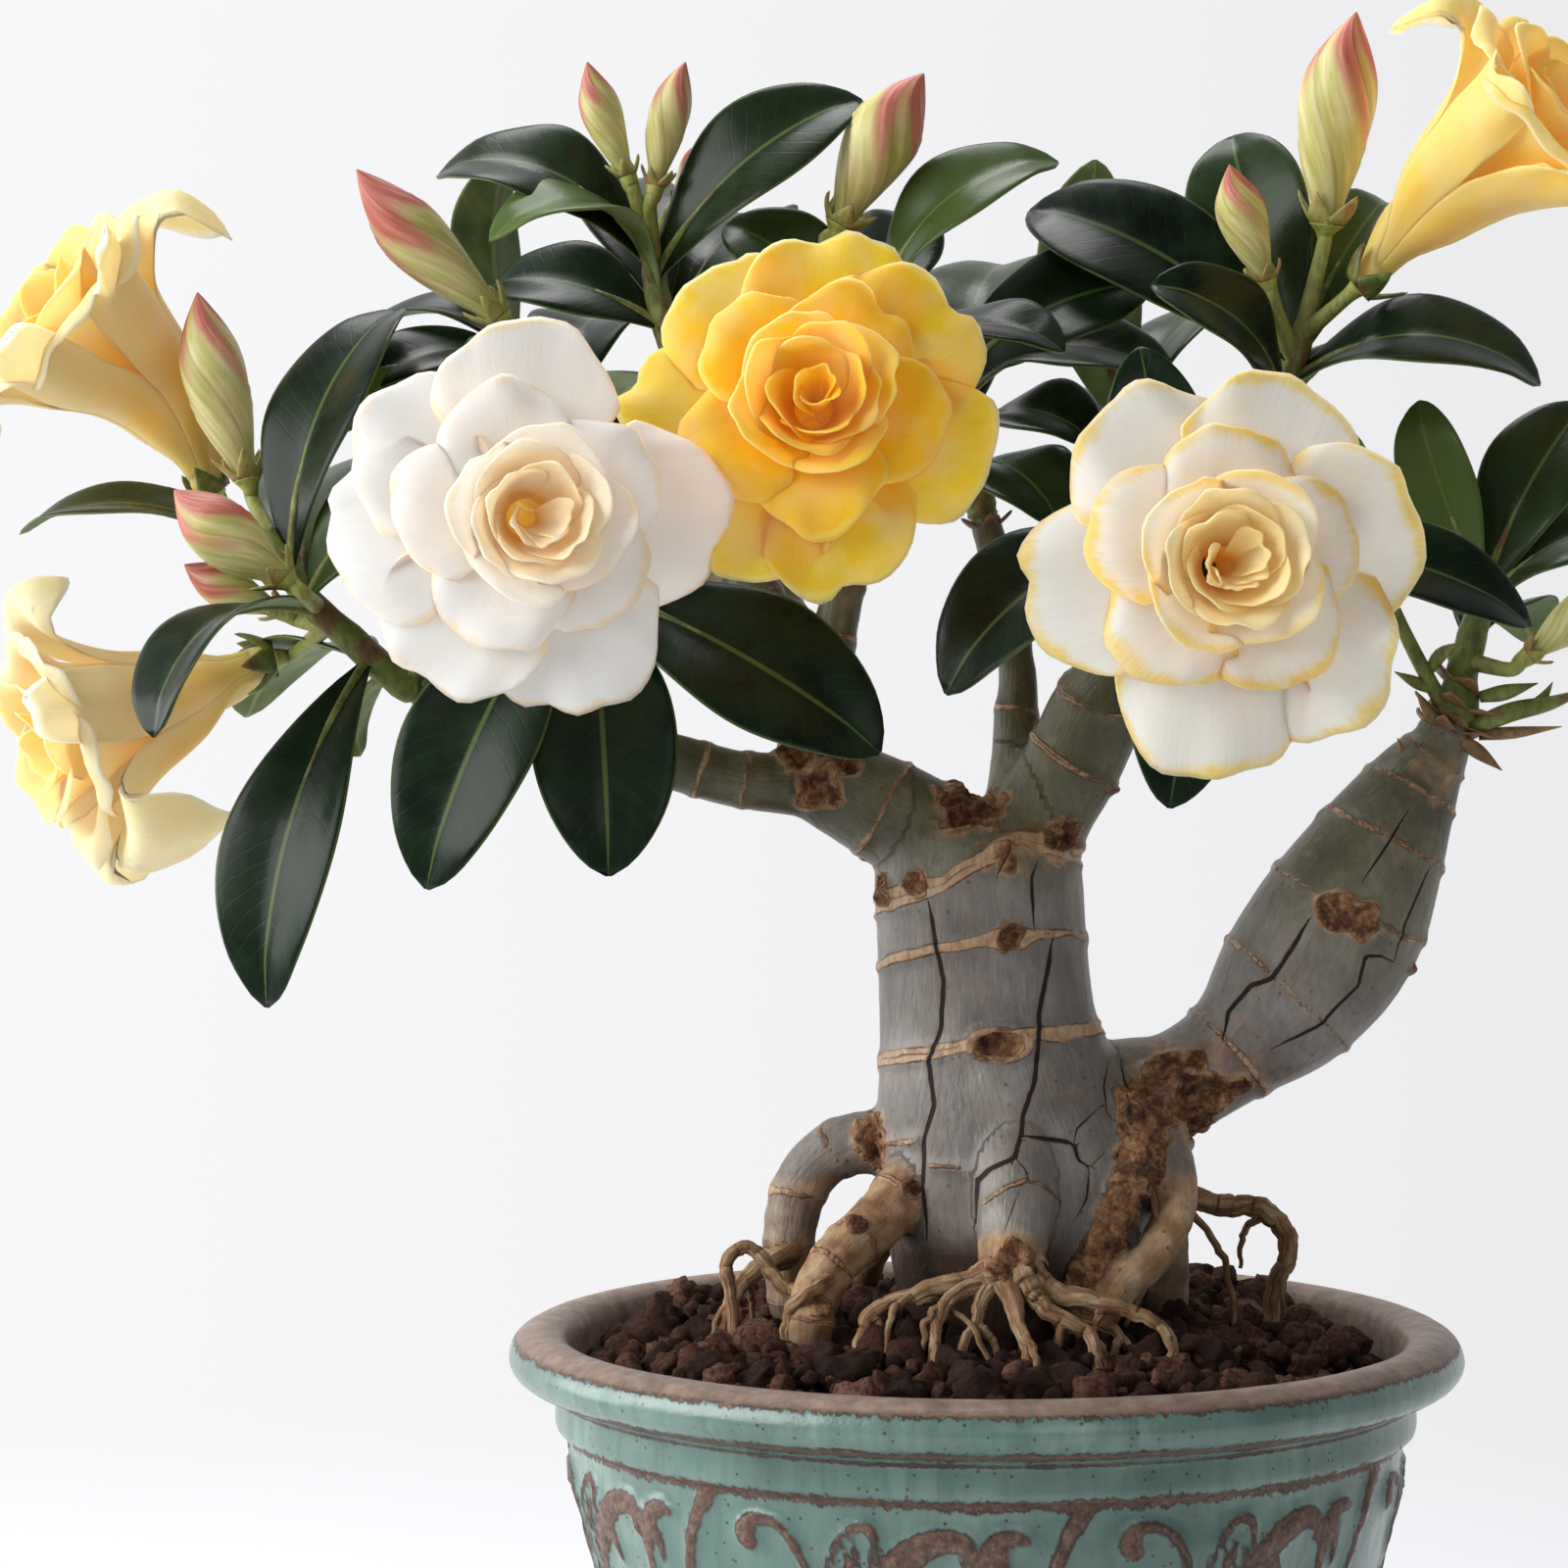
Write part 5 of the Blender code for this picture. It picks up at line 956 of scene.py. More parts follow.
openRose = [
    petal((6, -1), (20, 0), (35.5, -3), 43, 0.3, 0.16, 2.0, claw=0.3),
    petal((5, 0), (14, 3.5), (24.5, 5), 47, 0.3, 0.2, 1.6, claw=0.3),
    petal((4.5, 0.5), (12.5, 4), (15.5, 12), 52, 0.2, 0.1, 0.5, spiral=1.3),
    petal((4, 0.5), (9.6, 5), (12, 13.4), 57, 0.15, 0.05, 0.4, spiral=1.25),
    petal((3.5, 0.5), (7.5, 5), (8.6, 13.5), 62, 0.1, 0, 0.3, claw=0.1, spiral=1.2),
    petal((1.6, 0.5), (3.8, 6), (5.2, 11.5), 58, 0.1, 0, 0.5, spiral=1.2),
]
rolled = petal((1, 0.5), (2.4, 6), (3.5, 12.5), 104, 0.05, 0, 0.9, spiral=1.7)
trumpet = [  # the funnel's points are (share of the way back to the seat, radius)
    dict(funnel=[(1, 1.9), (0.87, 2.4), (0.75, 3.3), (0.65, 5.3),
                 (0.54, 7.5), (0.4, 9.2), (0.24, 11), (0.08, 13.8)],
         lobe=[(17.5, 1.5), (21.5, 4.4), (25, 4.8), (27.4, 2), (28, -3.5), (26.5, -8.5)],
         folded=[(16.5, 3.5), (18, 7.5), (19.5, 11), (20.5, 14), (20.5, 16), (20, 18)],
         spread=36.1, tilt=0.4),
    petal((8, -12), (12.5, 10), (21, 9), 46, 0.25, 0.15, 1.4),
    petal((6, -8), (8.5, 10), (13.5, 14), 58, 0.2, 0.1, 0.6, spiral=1.2),
    petal((2.5, -4), (4.5, 9), (7, 13), 60, 0.1, 0, 0.4, spiral=1),
]


def ringOf(count, start):
    return [start + 360 * i / count for i in range(count)]


roseKind = dict(tube=[(-18, 3.6), (-7, 5), (-1, 7.5), (0.6, 9.5)], whorls=openRose)
yellowKind = dict(roseKind, whorls=[*openRose[:5], rolled])
trumpetKind = dict(  # its tube is only the lining: the outer petals make the funnel
    tube=[(-30, 4.4), (-18, 5.4), (-9, 6.8)], whorls=trumpet, lean=(0, 0))

blooms = dict(  # lean is how far the heart sits off the middle, to the right and up; open is for each lobe
    bloom_white_pink=dict(
        roseKind, centre=(-87.5, -66, 303), look=(0, -1, 0.03), seat=(-83, -31, 300), rise=(0, -1, 0.05),
        size=1.06, seed=1, slot="petal_white_pink", lean=(3.2, 0.3),
        angles=[[90, 146, 186, 238, 292, 2], ringOf(5, 30), ringOf(4, 70), ringOf(4, 20),
                ringOf(4, 60), [335, 275, 222]]),
    bloom_yellow=dict(
        yellowKind, centre=(-34.5, -52, 323), look=(0, -1, 0.26),
        seat=(-25, -13, 330), rise=(-0.15, -1, -0.1),
        size=1.03, seed=2, slot="petal_yellow", lean=(0.3, 1.6),
        angles=[[126, 80, 38, 346, 280, 236, 176], ringOf(5, 60), ringOf(4, 20), ringOf(4, 66),
                ringOf(4, 100), [20, 150, 260]]),
    bloom_white_gold=dict(
        roseKind, centre=(40.5, -68, 294), look=(0, -1, 0.03), seat=(39, -33, 293), rise=(0, -1, 0),
        size=1.09, seed=3, slot="petal_white_gold", lean=(1.9, 1.2),
        angles=[[122, 66, 14, 316, 266, 188], ringOf(5, 15), ringOf(4, 50), ringOf(4, 5),
                ringOf(4, 40), [200, 262, 318, 20]]),
    bloom_yellow_upper_left=dict(
        trumpetKind, centre=(-180, 24, 340), look=(-0.72, -0.33, 0.6), seat=(-156, 29, 309),
        rise=(-0.6, -0.1, 0.8), size=1.2, seed=4, slot="petal_soft_yellow", open=[1, 0.85, 0.6, 0.1, 0.2],
        angles=[ringOf(5, 90), ringOf(5, 54), ringOf(4, 0), ringOf(3, 40)]),
    bloom_cream_lower_left=dict(
        trumpetKind, centre=(-177, 6, 261), look=(-0.85, -0.4, -0.32), seat=(-143, 14, 275),
        rise=(-0.95, -0.1, -0.2), size=1.2, seed=5, slot="petal_cream", open=[0.8, 0.8, 1, 1, 0.15],
        angles=[ringOf(5, 90), ringOf(5, 54), ringOf(4, 30), ringOf(3, 70)]),
    bloom_yellow_upper_right=dict(
        trumpetKind, centre=(103, -14, 378), look=(0.70, -0.42, 0.56), seat=(73.5, -1, 349),
        rise=(0.75, -0.1, 0.66), size=1.15, seed=6, slot="petal_soft_yellow", open=[1, 0.3, 0.5, 0.9, 0.6],
        angles=[ringOf(5, 92), ringOf(5, 56), ringOf(4, 20), ringOf(3, 60)]),
)

petalColours = dict(  # blade, towards the foot, heart, throat, rim, width of the rim's colour, glow
    bloom_white_pink=((243, 238, 229), (248, 228, 190), (253, 218, 162), (246, 182, 70), (255, 214, 172),
                      1.4, 0.075),
    bloom_yellow=((252, 190, 30), (250, 180, 30), (253, 184, 34), (242, 152, 20),
                  (255, 206, 84), 1.2, 0.075),
    bloom_white_gold=((242, 233, 216), (248, 216, 138), (250, 214, 128), (234, 158, 42), (250, 192, 76),
                      2.8, 0.07),
    bloom_yellow_upper_left=((242, 212, 140), (250, 196, 84), (240, 178, 50), (242, 184, 76),
                             (250, 228, 176), 2.0, 0.09),
    bloom_cream_lower_left=((240, 216, 158), (246, 200, 108), (246, 198, 92), (238, 186, 90),
                            (248, 228, 186), 2.0, 0.1),
    bloom_yellow_upper_right=((254, 216, 116), (252, 188, 52), (252, 184, 46), (236, 190, 92),
                              (255, 224, 140), 1.8, 0.1),
)


def petalSilk(name, blade, foot, heart, throat, rim, rimWidth, glow):
    # satin petal: pale blade, warm foot and heart, tinted rim, faint veins running outwards
    finish = Finish(name, 0.55, Specular_IOR_Level=0.22, Subsurface_Weight=0.8, Sheen_Weight=0.06,
                    Subsurface_Radius=(0.004, 0.0036, 0.003), Subsurface_Scale=0.8, Sheen_Roughness=0.5,
                    Emission_Strength=glow)
    along, across, edge, inner, tone = finish.marks("along", "across", "edge", "inner", "tone")
    fluted, young = finish.marks("fluted", "young")
    veins = finish.noise(1.0, 2, finish.join(across * 0.03, along * 0.004, tone * 0.5))
    clouds = finish.noise(9)
    colour = finish.mix(along.fade(0.12, 0.55, 1, 0), blade, foot)
    colour = finish.mix(inner.fade(0.3, 0.75, 0, 0.85), colour, heart)
    colour = finish.mix(along.fade(0.05, 0.42, 0.95, 0), colour, throat)
    ragged = edge + (veins - 0.5) * 2 + (clouds - 0.45) * 7
    band = ragged.fade(0.3 * rimWidth, 1.5 * rimWidth, 0.9, 0) * along.fade(0.55, 0.8)
    colour = finish.mix(band * inner.fade(0.3, 0.7, 1, 0.1), colour, rim)
    colour = finish.mix(veins.fade(0.3, 0.7, 0.1, 0), colour, foot, "MULTIPLY")
    colour = finish.mix(clouds.fade(0.35, 0.7, 0, 0.12), colour, (255, 250, 240))
    # painted highlight: the pale blade colour along each funnel strip's edges stands for sheen on its folds
    colour = finish.mix(abs(across).fade(0.2, 1) * 0.7 * fluted, colour, blade)
    colour = finish.mix(young, colour, (190, 172, 92))
    normal = finish.bump(clouds, 1.2, 0.25, finish.bump(veins, 0.18, 0.3))
    # the emission stands for light caught in thin petals
    return finish.feed(Base_Color=colour, Emission_Color=colour, Normal=normal,
                       Roughness=clouds.fade(0.3, 0.7, 0.48, 0.62))


def funnelPetal(shape, angle, plan, number, rng):
    # one fifth of the funnel, from the seat out to its free lobe, lapping over the next one
    size, opened = plan["size"], plan["open"][number]
    depth = np.linalg.norm(np.subtract(plan["centre"], plan["seat"]))
    droop, reachOut = rng.uniform(0.7, 1.5), rng.uniform(0.94, 1.06)
    lobe = np.array(shape["folded"]) + opened * np.subtract(shape["lobe"], shape["folded"])
    lobe = [(r * size * reachOut, h * size if h > 0 else h * size * droop) for r, h in lobe]
    line = smoothPath([(r * size, -share * depth) for share, r in shape["funnel"]] + lobe, 8)
    arc = arcLengths(line)
    t = np.linspace(0, 1, int(1.6 * petalShape["rows"]))[:, None]
    s = np.linspace(-1, 1, petalShape["columns"] - 6)[None, :]
    reach = t * (1 - 0.36 * np.abs(s) ** 2.6)
    free = ease(0.6, 0.9, reach)
    radius, height = (np.interp(reach * arc[-1], arc, line[:, axis]) for axis in (0, 1))
    phases = rng.uniform(0, 6, 4)
    waves = np.sin(s * 4 + phases[0]) + 0.5 * np.sin(s * 9 + phases[1])
    height = height + free * (shape["tilt"] * 3 * s + 1.7 * waves * t ** 3) * size
    radius = radius + free * (0.9 * s - 0.16 * radius * s * s + 0.9 * np.sin(s * 7 + phases[2]))
    flute = 0.35 * np.cos(s * math.pi) * ease(0.05, 0.35, reach) * (1 - free)
    around = np.radians(angle + s * shape["spread"] * (1 + 0.1 * free - 0.16 * ease(0.75, 1.0, t))
                        + 7 * reach)
    points = np.stack([(radius + flute) * np.cos(around), (radius + flute) * np.sin(around), height], -1)
    edge = np.minimum((1 - t) * arc[-1], (1 - np.abs(s)) * np.radians(shape["spread"]) * radius)
    return points, t ** 1.5 + 0 * s, s + 0 * t, np.where(free > 0.1, edge, 9)


def rosePetal(shape, angle, plan, whorl, size, rng):
    # a blade bent along its middle line, ruffled and rolled back at the rim, with a notch
    rows, columns, narrow = petalShape["rows"], petalShape["columns"], shape["narrow"]
    corner, power, widen, ruffle, curl = (
        petalShape[key][whorl] for key in ("corner", "power", "widen", "ruffle", "curl"))
    t = ease(-0.6, 1.25, np.linspace(0, 1, rows))[:, None]
    t = (t - t[0]) / (t[-1] - t[0])
    s = np.sin(np.linspace(-1, 1, columns) * 1.35)[None, :] / math.sin(1.35)
    across, along = np.broadcast_to(s, (rows, columns)), np.broadcast_to(t, (rows, columns))
    reach = t * (1 - corner * np.abs(s) ** power)
    foot, bend, rim = (np.array(shape[key]) * size for key in ("foot", "bend", "rim"))
    radius, height = (((1 - reach) ** 2)[..., None] * foot + (2 * reach * (1 - reach))[..., None] * bend
                      + (reach ** 2)[..., None] * rim).transpose(2, 0, 1)
    radius = radius - shape["hollow"] * (rim[0] - foot[0]) * s * s * reach ** 2 + shape["spiral"] * s * reach
    height = height + shape["tilt"] * s * reach
    phases = rng.uniform(0, 6, 6)
    slow = np.sin(s * rng.uniform(3.5, 5) + phases[0]) + 0.5 * np.sin(s * rng.uniform(7, 9) + phases[1])
    quick = np.sin(s * rng.uniform(9, 12) + phases[2]) + 0.7 * np.sin(s * rng.uniform(13, 17) + phases[3])
    height = height + ruffle * (slow + 0.25 * quick) * (t ** 4 + 0.5 * np.abs(s) ** 4 * t) * size
    radius = radius + ruffle * (0.5 * np.sin(s * 6 + phases[4]) + 0.22 * quick) * t ** 6
    roll = np.clip((t - 0.66) / 0.34, 0, 1) ** 2 * (1 - 0.4 * s * s)
    height, radius = height - curl * roll, radius + 0.35 * curl * roll * (whorl > 1)
    notch = rng.uniform(-0.5, 0.5)
    radius = radius - rng.uniform(0, 1.6) * ruffle * np.exp(-((s - notch) / 0.13) ** 2) * t ** 8
    height = height + rng.uniform(-0.9, 0.9) * np.sin(s * 2.6) * t + rng.uniform(-0.6, 0.6) * t
    claw = 1 - shape["claw"] * (1 - reach) ** 2
    spread = shape["spread"] * widen
    around = np.radians(angle + s * spread * claw * (1 - narrow * reach ** 3))
    points = np.stack([radius * np.cos(around), radius * np.sin(around), height], -1)
    lean = ease(0, 12, height) * (whorl > 0)
    points[..., :2] += np.array(plan["lean"]) * lean[..., None]
    half = np.radians(spread) * radius * (1 - narrow)
    edge = np.minimum((1 - along) * np.linalg.norm(rim - foot), (1 - np.abs(across)) * half)
    return points, along, across, edge


def makeTube(bloom, plan, centre, look, seat, rise):  # an open funnel from the seat to just under the petals
    sides, funnelled = petalShape["tubeSides"], plan["whorls"] is trumpet
    spots = [(*(seat + 0.3 * rise), 2.2), (*(seat + 3 * rise), 2.8)]
    path = smoothPath(spots + [(*(centre + depth * look), radius) for depth, radius in plan["tube"]], 6)
    rings = sweep(path, sides)[0][:-2].reshape(len(path), sides, 3)[:, ::-1]
    verts, faceLists, inside = sheet(np.concatenate([rings, rings[:, :1]], 1), petalShape["tubeThickness"])
    shape = (len(path), sides + 1)
    share = both(np.broadcast_to(np.linspace(0, 1, len(path))[:, None], shape))
    turn = both(np.broadcast_to(np.linspace(-2, 2, sides + 1)[None, :], shape))
    lining = 0.5 - 0.35 * share if funnelled else 0.35 * share
    bloom.add(verts, faceLists, along=lining + (1 - inside) * (0.6 - lining), across=turn, edge=9,
              inner=0.0 if funnelled else 0.6 * inside, tone=0.5,
              young=(1 - inside) * (0.1 + 0.75 * ease(0.8, 0.0, share)))


def makeBloom(name, plan):
    look, rise = unit(plan["look"]), unit(plan["rise"])
    right = unit(np.cross((0, 0, 1), look))
    axes = np.array([right, np.cross(look, right), look])
    centre, seat = np.array(plan["centre"]), np.array(plan["seat"])
    rng = np.random.default_rng(plan["seed"])
    bloom = Parts()
    makeTube(bloom, plan, centre, look, seat, rise)
    # the bloom bends from its seat to the way that it looks: how far aside it is at each depth
    middle = centre - 0.45 * np.linalg.norm(centre - seat) * look
    bendPath = smoothPath([seat - 3 * rise, seat + 3 * rise, middle, centre], 8)
    depths = (bendPath - centre) @ look
    aside = bendPath - centre - depths[:, None] * look
    deepest = (0.85 if plan["whorls"] is trumpet else 1) / (len(plan["whorls"]) - 1)
    for whorl, (shape, angles) in enumerate(zip(plan["whorls"], plan["angles"])):
        funnelled = "funnel" in shape
        for number, angle in enumerate(angles):
            if whorl:
                angle += rng.uniform(-7, 7)
            size = plan["size"] * rng.uniform(0.96, 1.03)
            points, along, across, edge = (funnelPetal(shape, angle, plan, number, rng) if funnelled else
                                           rosePetal(shape, angle, plan, whorl, size, rng))
            shift = np.stack([np.interp(points[..., 2], depths, aside[:, axis]) for axis in range(3)], -1)
            verts, faceLists, _ = sheet(centre + points @ axes + shift, petalShape["thickness"])
            bloom.add(verts, faceLists, along=both(along), across=both(across), edge=both(edge),
                      inner=whorl * deepest, tone=rng.uniform(), fluted=float(funnelled),
                      young=both(0.9 * ease(0.24, 0.0, along)) * funnelled)
    material = petalSilk(plan["slot"] + name[5:], *petalColours[name])
    settle(bloom.piece(name.replace("bloom", "petals"), material), name)


for bloomName, bloomPlan in blooms.items():
    makeBloom(bloomName, bloomPlan)
print("blooms opened")


# Buds: twisted spindles, each in a cup of five small sepals

buds = dict(  # seat on the stalk, tip, greatest radius
    bud_left_front=((-136.5, -22.5, 291.5), (-157.5, -24, 308.5), 6.5),
    bud_left_low=((-140, 1, 285), (-158.5, 0, 294), 4.4),
    bud_left_tall=((-146.5, 6, 311), (-156.5, 8, 348), 6.6),
    bud_back_left=((-96.5, 8, 343), (-124.5, 4, 372), 6.4),
    bud_top_left=((-71, 8, 371), (-79, 8, 393.5), 4.1),
    bud_top_middle=((-65.5, 8, 369), (-59.5, 8, 393.5), 4.2),
    bud_top_small=((-61.5, 16, 366), (-54.5, 17, 379), 2.9),
    bud_middle=((-29, 2, 361), (-12.5, 0, 390.5), 7.2),
    bud_right_small=((55, 0, 350), (47.5, -2, 372.5), 5),
    bud_right_tall=((67, 2, 361), (72.5, 0, 402.5), 7.8),
    bud_far_right=((108, 4, 276), (126, 0, 289), 4.6),
)

budShape = dict(
    profile=[(0, 0.36), (0.1, 0.44), (0.24, 0.68), (0.4, 0.9), (0.56, 1), (0.7, 0.9), (0.83, 0.6),
             (0.93, 0.28), (0.98, 0.1), (1, 0.02)],
    rows=4, sides=36, lobes=4, twist=0.38, overlap=0.1, bow=0.03, seed=40,
    sepals=5, sepalLength=0.15, sepalReach=0.56,      # their length per bud length, their reach per radius
)


def budSkin():
    # pale yellow-green, blushed pink-red from the tip down one side of each fold
    finish = Finish("budSkin", 0.45, Specular_IOR_Level=0.35, Subsurface_Weight=0.2,
                    Subsurface_Radius=(0.002, 0.0018, 0.001), Subsurface_Scale=0.6)
    along, blush, foldX, foldY, tone = finish.marks("along", "blush", "foldX", "foldY", "tone")
    fold = finish.math("ARCTAN2", foldY, foldX) * (budShape["lobes"] / math.tau) + budShape["lobes"] * 2.0
    fold = finish.math("FRACT", fold)
    streaks = finish.noise(1.0, 3, finish.join(foldX * 0.004, foldY * 0.004, along * 0.003 + tone))
    clouds = finish.noise(9)
    green = streaks.ramp((0.3, 176, 172, 92), (0.5, 202, 195, 122), (0.7, 226, 218, 164))
    green = finish.mix(clouds.fade(0.4, 0.7, 0, 0.4), green, (226, 216, 168))
    green = finish.mix(along.fade(0, 0.35, 0.55, 0), green, (146, 150, 76))
    red = streaks.ramp((0.3, 164, 72, 68), (0.55, 196, 108, 98), (0.75, 222, 158, 140))
    reach = along + blush * 0.34 + (streaks - 0.5) * 0.3 + (clouds - 0.5) * 0.25
    colour = finish.mix(reach.fade(0.66, 1, 0, 0.95), green, red)
    # painted shade: a darker line along each seam where one fold laps over the next
    seam = fold.smaller(1 - fold)
    colour = finish.mix(seam.fade(0, 0.06, 0.32, 0), colour, (150, 112, 60), "MULTIPLY")
    return finish.feed(Base_Color=colour, Normal=finish.bump(streaks, 0.25, 0.35))


def softGreen(name, low, middle, high, blush):
    # young stems, stalks and sepals: green going brown-red in places, with fine lengthwise lines
    finish = Finish(name, 0.5, Specular_IOR_Level=0.35)
    along, young = finish.marks("along", "young")
    lines = finish.noise(1.2, 3, finish.stretch(0.35), 0.6)
    colour = finish.noise(6, 4).ramp((0.3, *low), (0.52, *middle), (0.75, *high))
    colour = finish.mix(finish.noise(9, warp=0.6).fade(0.5, 0.68, 0, 0.75), colour, blush)
    colour = finish.mix(along.fade(0, 0.35, 0.5, 0), colour, (96, 88, 58))
    colour = finish.mix(young, colour, (180, 184, 96))
    colour = finish.mix(lines.fade(0.3, 0.6, 0.4, 0), colour, low, "MULTIPLY")
    return finish.feed(Base_Color=colour, Normal=finish.bump(lines, 0.4, 0.6))


sepalGreen = softGreen("sepalGreen", (132, 136, 70), (166, 162, 94), (192, 180, 118), (180, 118, 82))
stemGreen = softGreen("stemGreen", (72, 88, 36), (112, 124, 58), (150, 154, 90), (112, 66, 50))
dryScale = softGreen("dryScale", (104, 72, 50), (150, 112, 80), (184, 148, 110), (96, 58, 44))


def sepalRing(parts, seat, rise, reach, length, slot, rng, slim=1.0):
    # five narrow pointed blades standing round a seat
    across = unit(np.cross(rise, (0.3, 0.5, 0.81)))
    other = np.cross(rise, across)
    t, s = np.meshgrid(np.linspace(0, 1, 8), np.linspace(-1, 1, 7), indexing="ij")
    for i in range(budShape["sepals"]):
        angle = math.tau * (i + rng.uniform(-0.12, 0.12)) / budShape["sepals"]
        out = across * math.cos(angle) + other * math.sin(angle)
        half = 0.62 * slim * reach * (1 - t ** 1.6) + 0.08
        spread = reach * (0.62 + 0.62 * np.sin(t * 1.9)) + 0.25 * reach * t ** 3 * rng.uniform(0, 2)
        place = (seat + out * spread[..., None] + rise * ((t * length - 0.6)[..., None])
                 + np.cross(rise, out) * (s * half)[..., None] - out * (0.28 * half * s ** 2)[..., None])
        verts, faceLists, _ = sheet(place[:, ::-1], 0.6)
        parts.add(verts, faceLists, slot, along=0.3 + 0.7 * both(t[:, ::-1]))


def makeBud(name, seat, tip, girth, number):
    seat, tip, sides = np.array(seat), np.array(tip), budShape["sides"]
    rise, length = unit(tip - seat), np.linalg.norm(tip - seat) - 0.3
    rng = np.random.default_rng(budShape["seed"] + number)
    share, radius = smoothPath(budShape["profile"], budShape["rows"]).T
    bow = unit(np.cross(rise, (0.2, 0.9, 0.4))) * (budShape["bow"] * length * np.sin(np.pi * share))[:, None]
    path = np.column_stack([seat + 0.3 * rise + rise * (share[:, None] * length) + bow, radius * girth])
    turn = np.arange(sides) / sides
    around = turn[None, :] + (budShape["twist"] * share ** 1.2 + rng.uniform())[:, None]
    phase = np.mod(around * budShape["lobes"], 1)
    step = phase ** 1.5 - ease(0.88, 1.0, phase)
    swell = 1 + budShape["overlap"] * (step - 0.4) * np.sin(np.pi * np.clip(share, 0.02, 0.98))[:, None]
    verts, faceLists, _, _ = sweep(path, sides, swell)
    blush = 0.5 - 0.5 * np.cos(math.tau * (phase - 0.25)) + 0.4 * np.sin(math.tau * (turn + rng.uniform()))
    folds = math.tau * around
    bud = Parts()
    bud.add(verts, faceLists, along=np.append(np.repeat(share, sides), [0, 1]), tone=0.7 * number,
            blush=np.append(blush.ravel(), [0.5, 0.5]), foldX=np.append(np.cos(folds).ravel(), [1, 1]),
            foldY=np.append(np.sin(folds).ravel(), [0, 0]))
    reach, sepalLength = budShape["sepalReach"] * girth, budShape["sepalLength"] * length
    sepalRing(bud, seat + 0.5 * rise, rise, reach, sepalLength, 1, rng)
    settle(bud.piece(name.replace("bud", "twistedBud"), budMaterial, sepalGreen), name)


budMaterial = budSkin()
for budNumber, (budName, budPlan) in enumerate(buds.items()):
    makeBud(budName, *budPlan, budNumber)
print("buds twisted shut")


# Leafy stems: a soft stem from a woody end, its leaves, and the stalks of its blooms and buds

leafShape = dict(rows=28, columns=13, thickness=0.7, fold=0.30, wave=0.8)
stemShape = dict(sides=24, stalkSides=16, petioleSides=10, scaleSides=8, shootSides=12, scales=5, seed=80)
foliage, soft, dry = 0, 1, 2                     # the material slots of a stem's piece

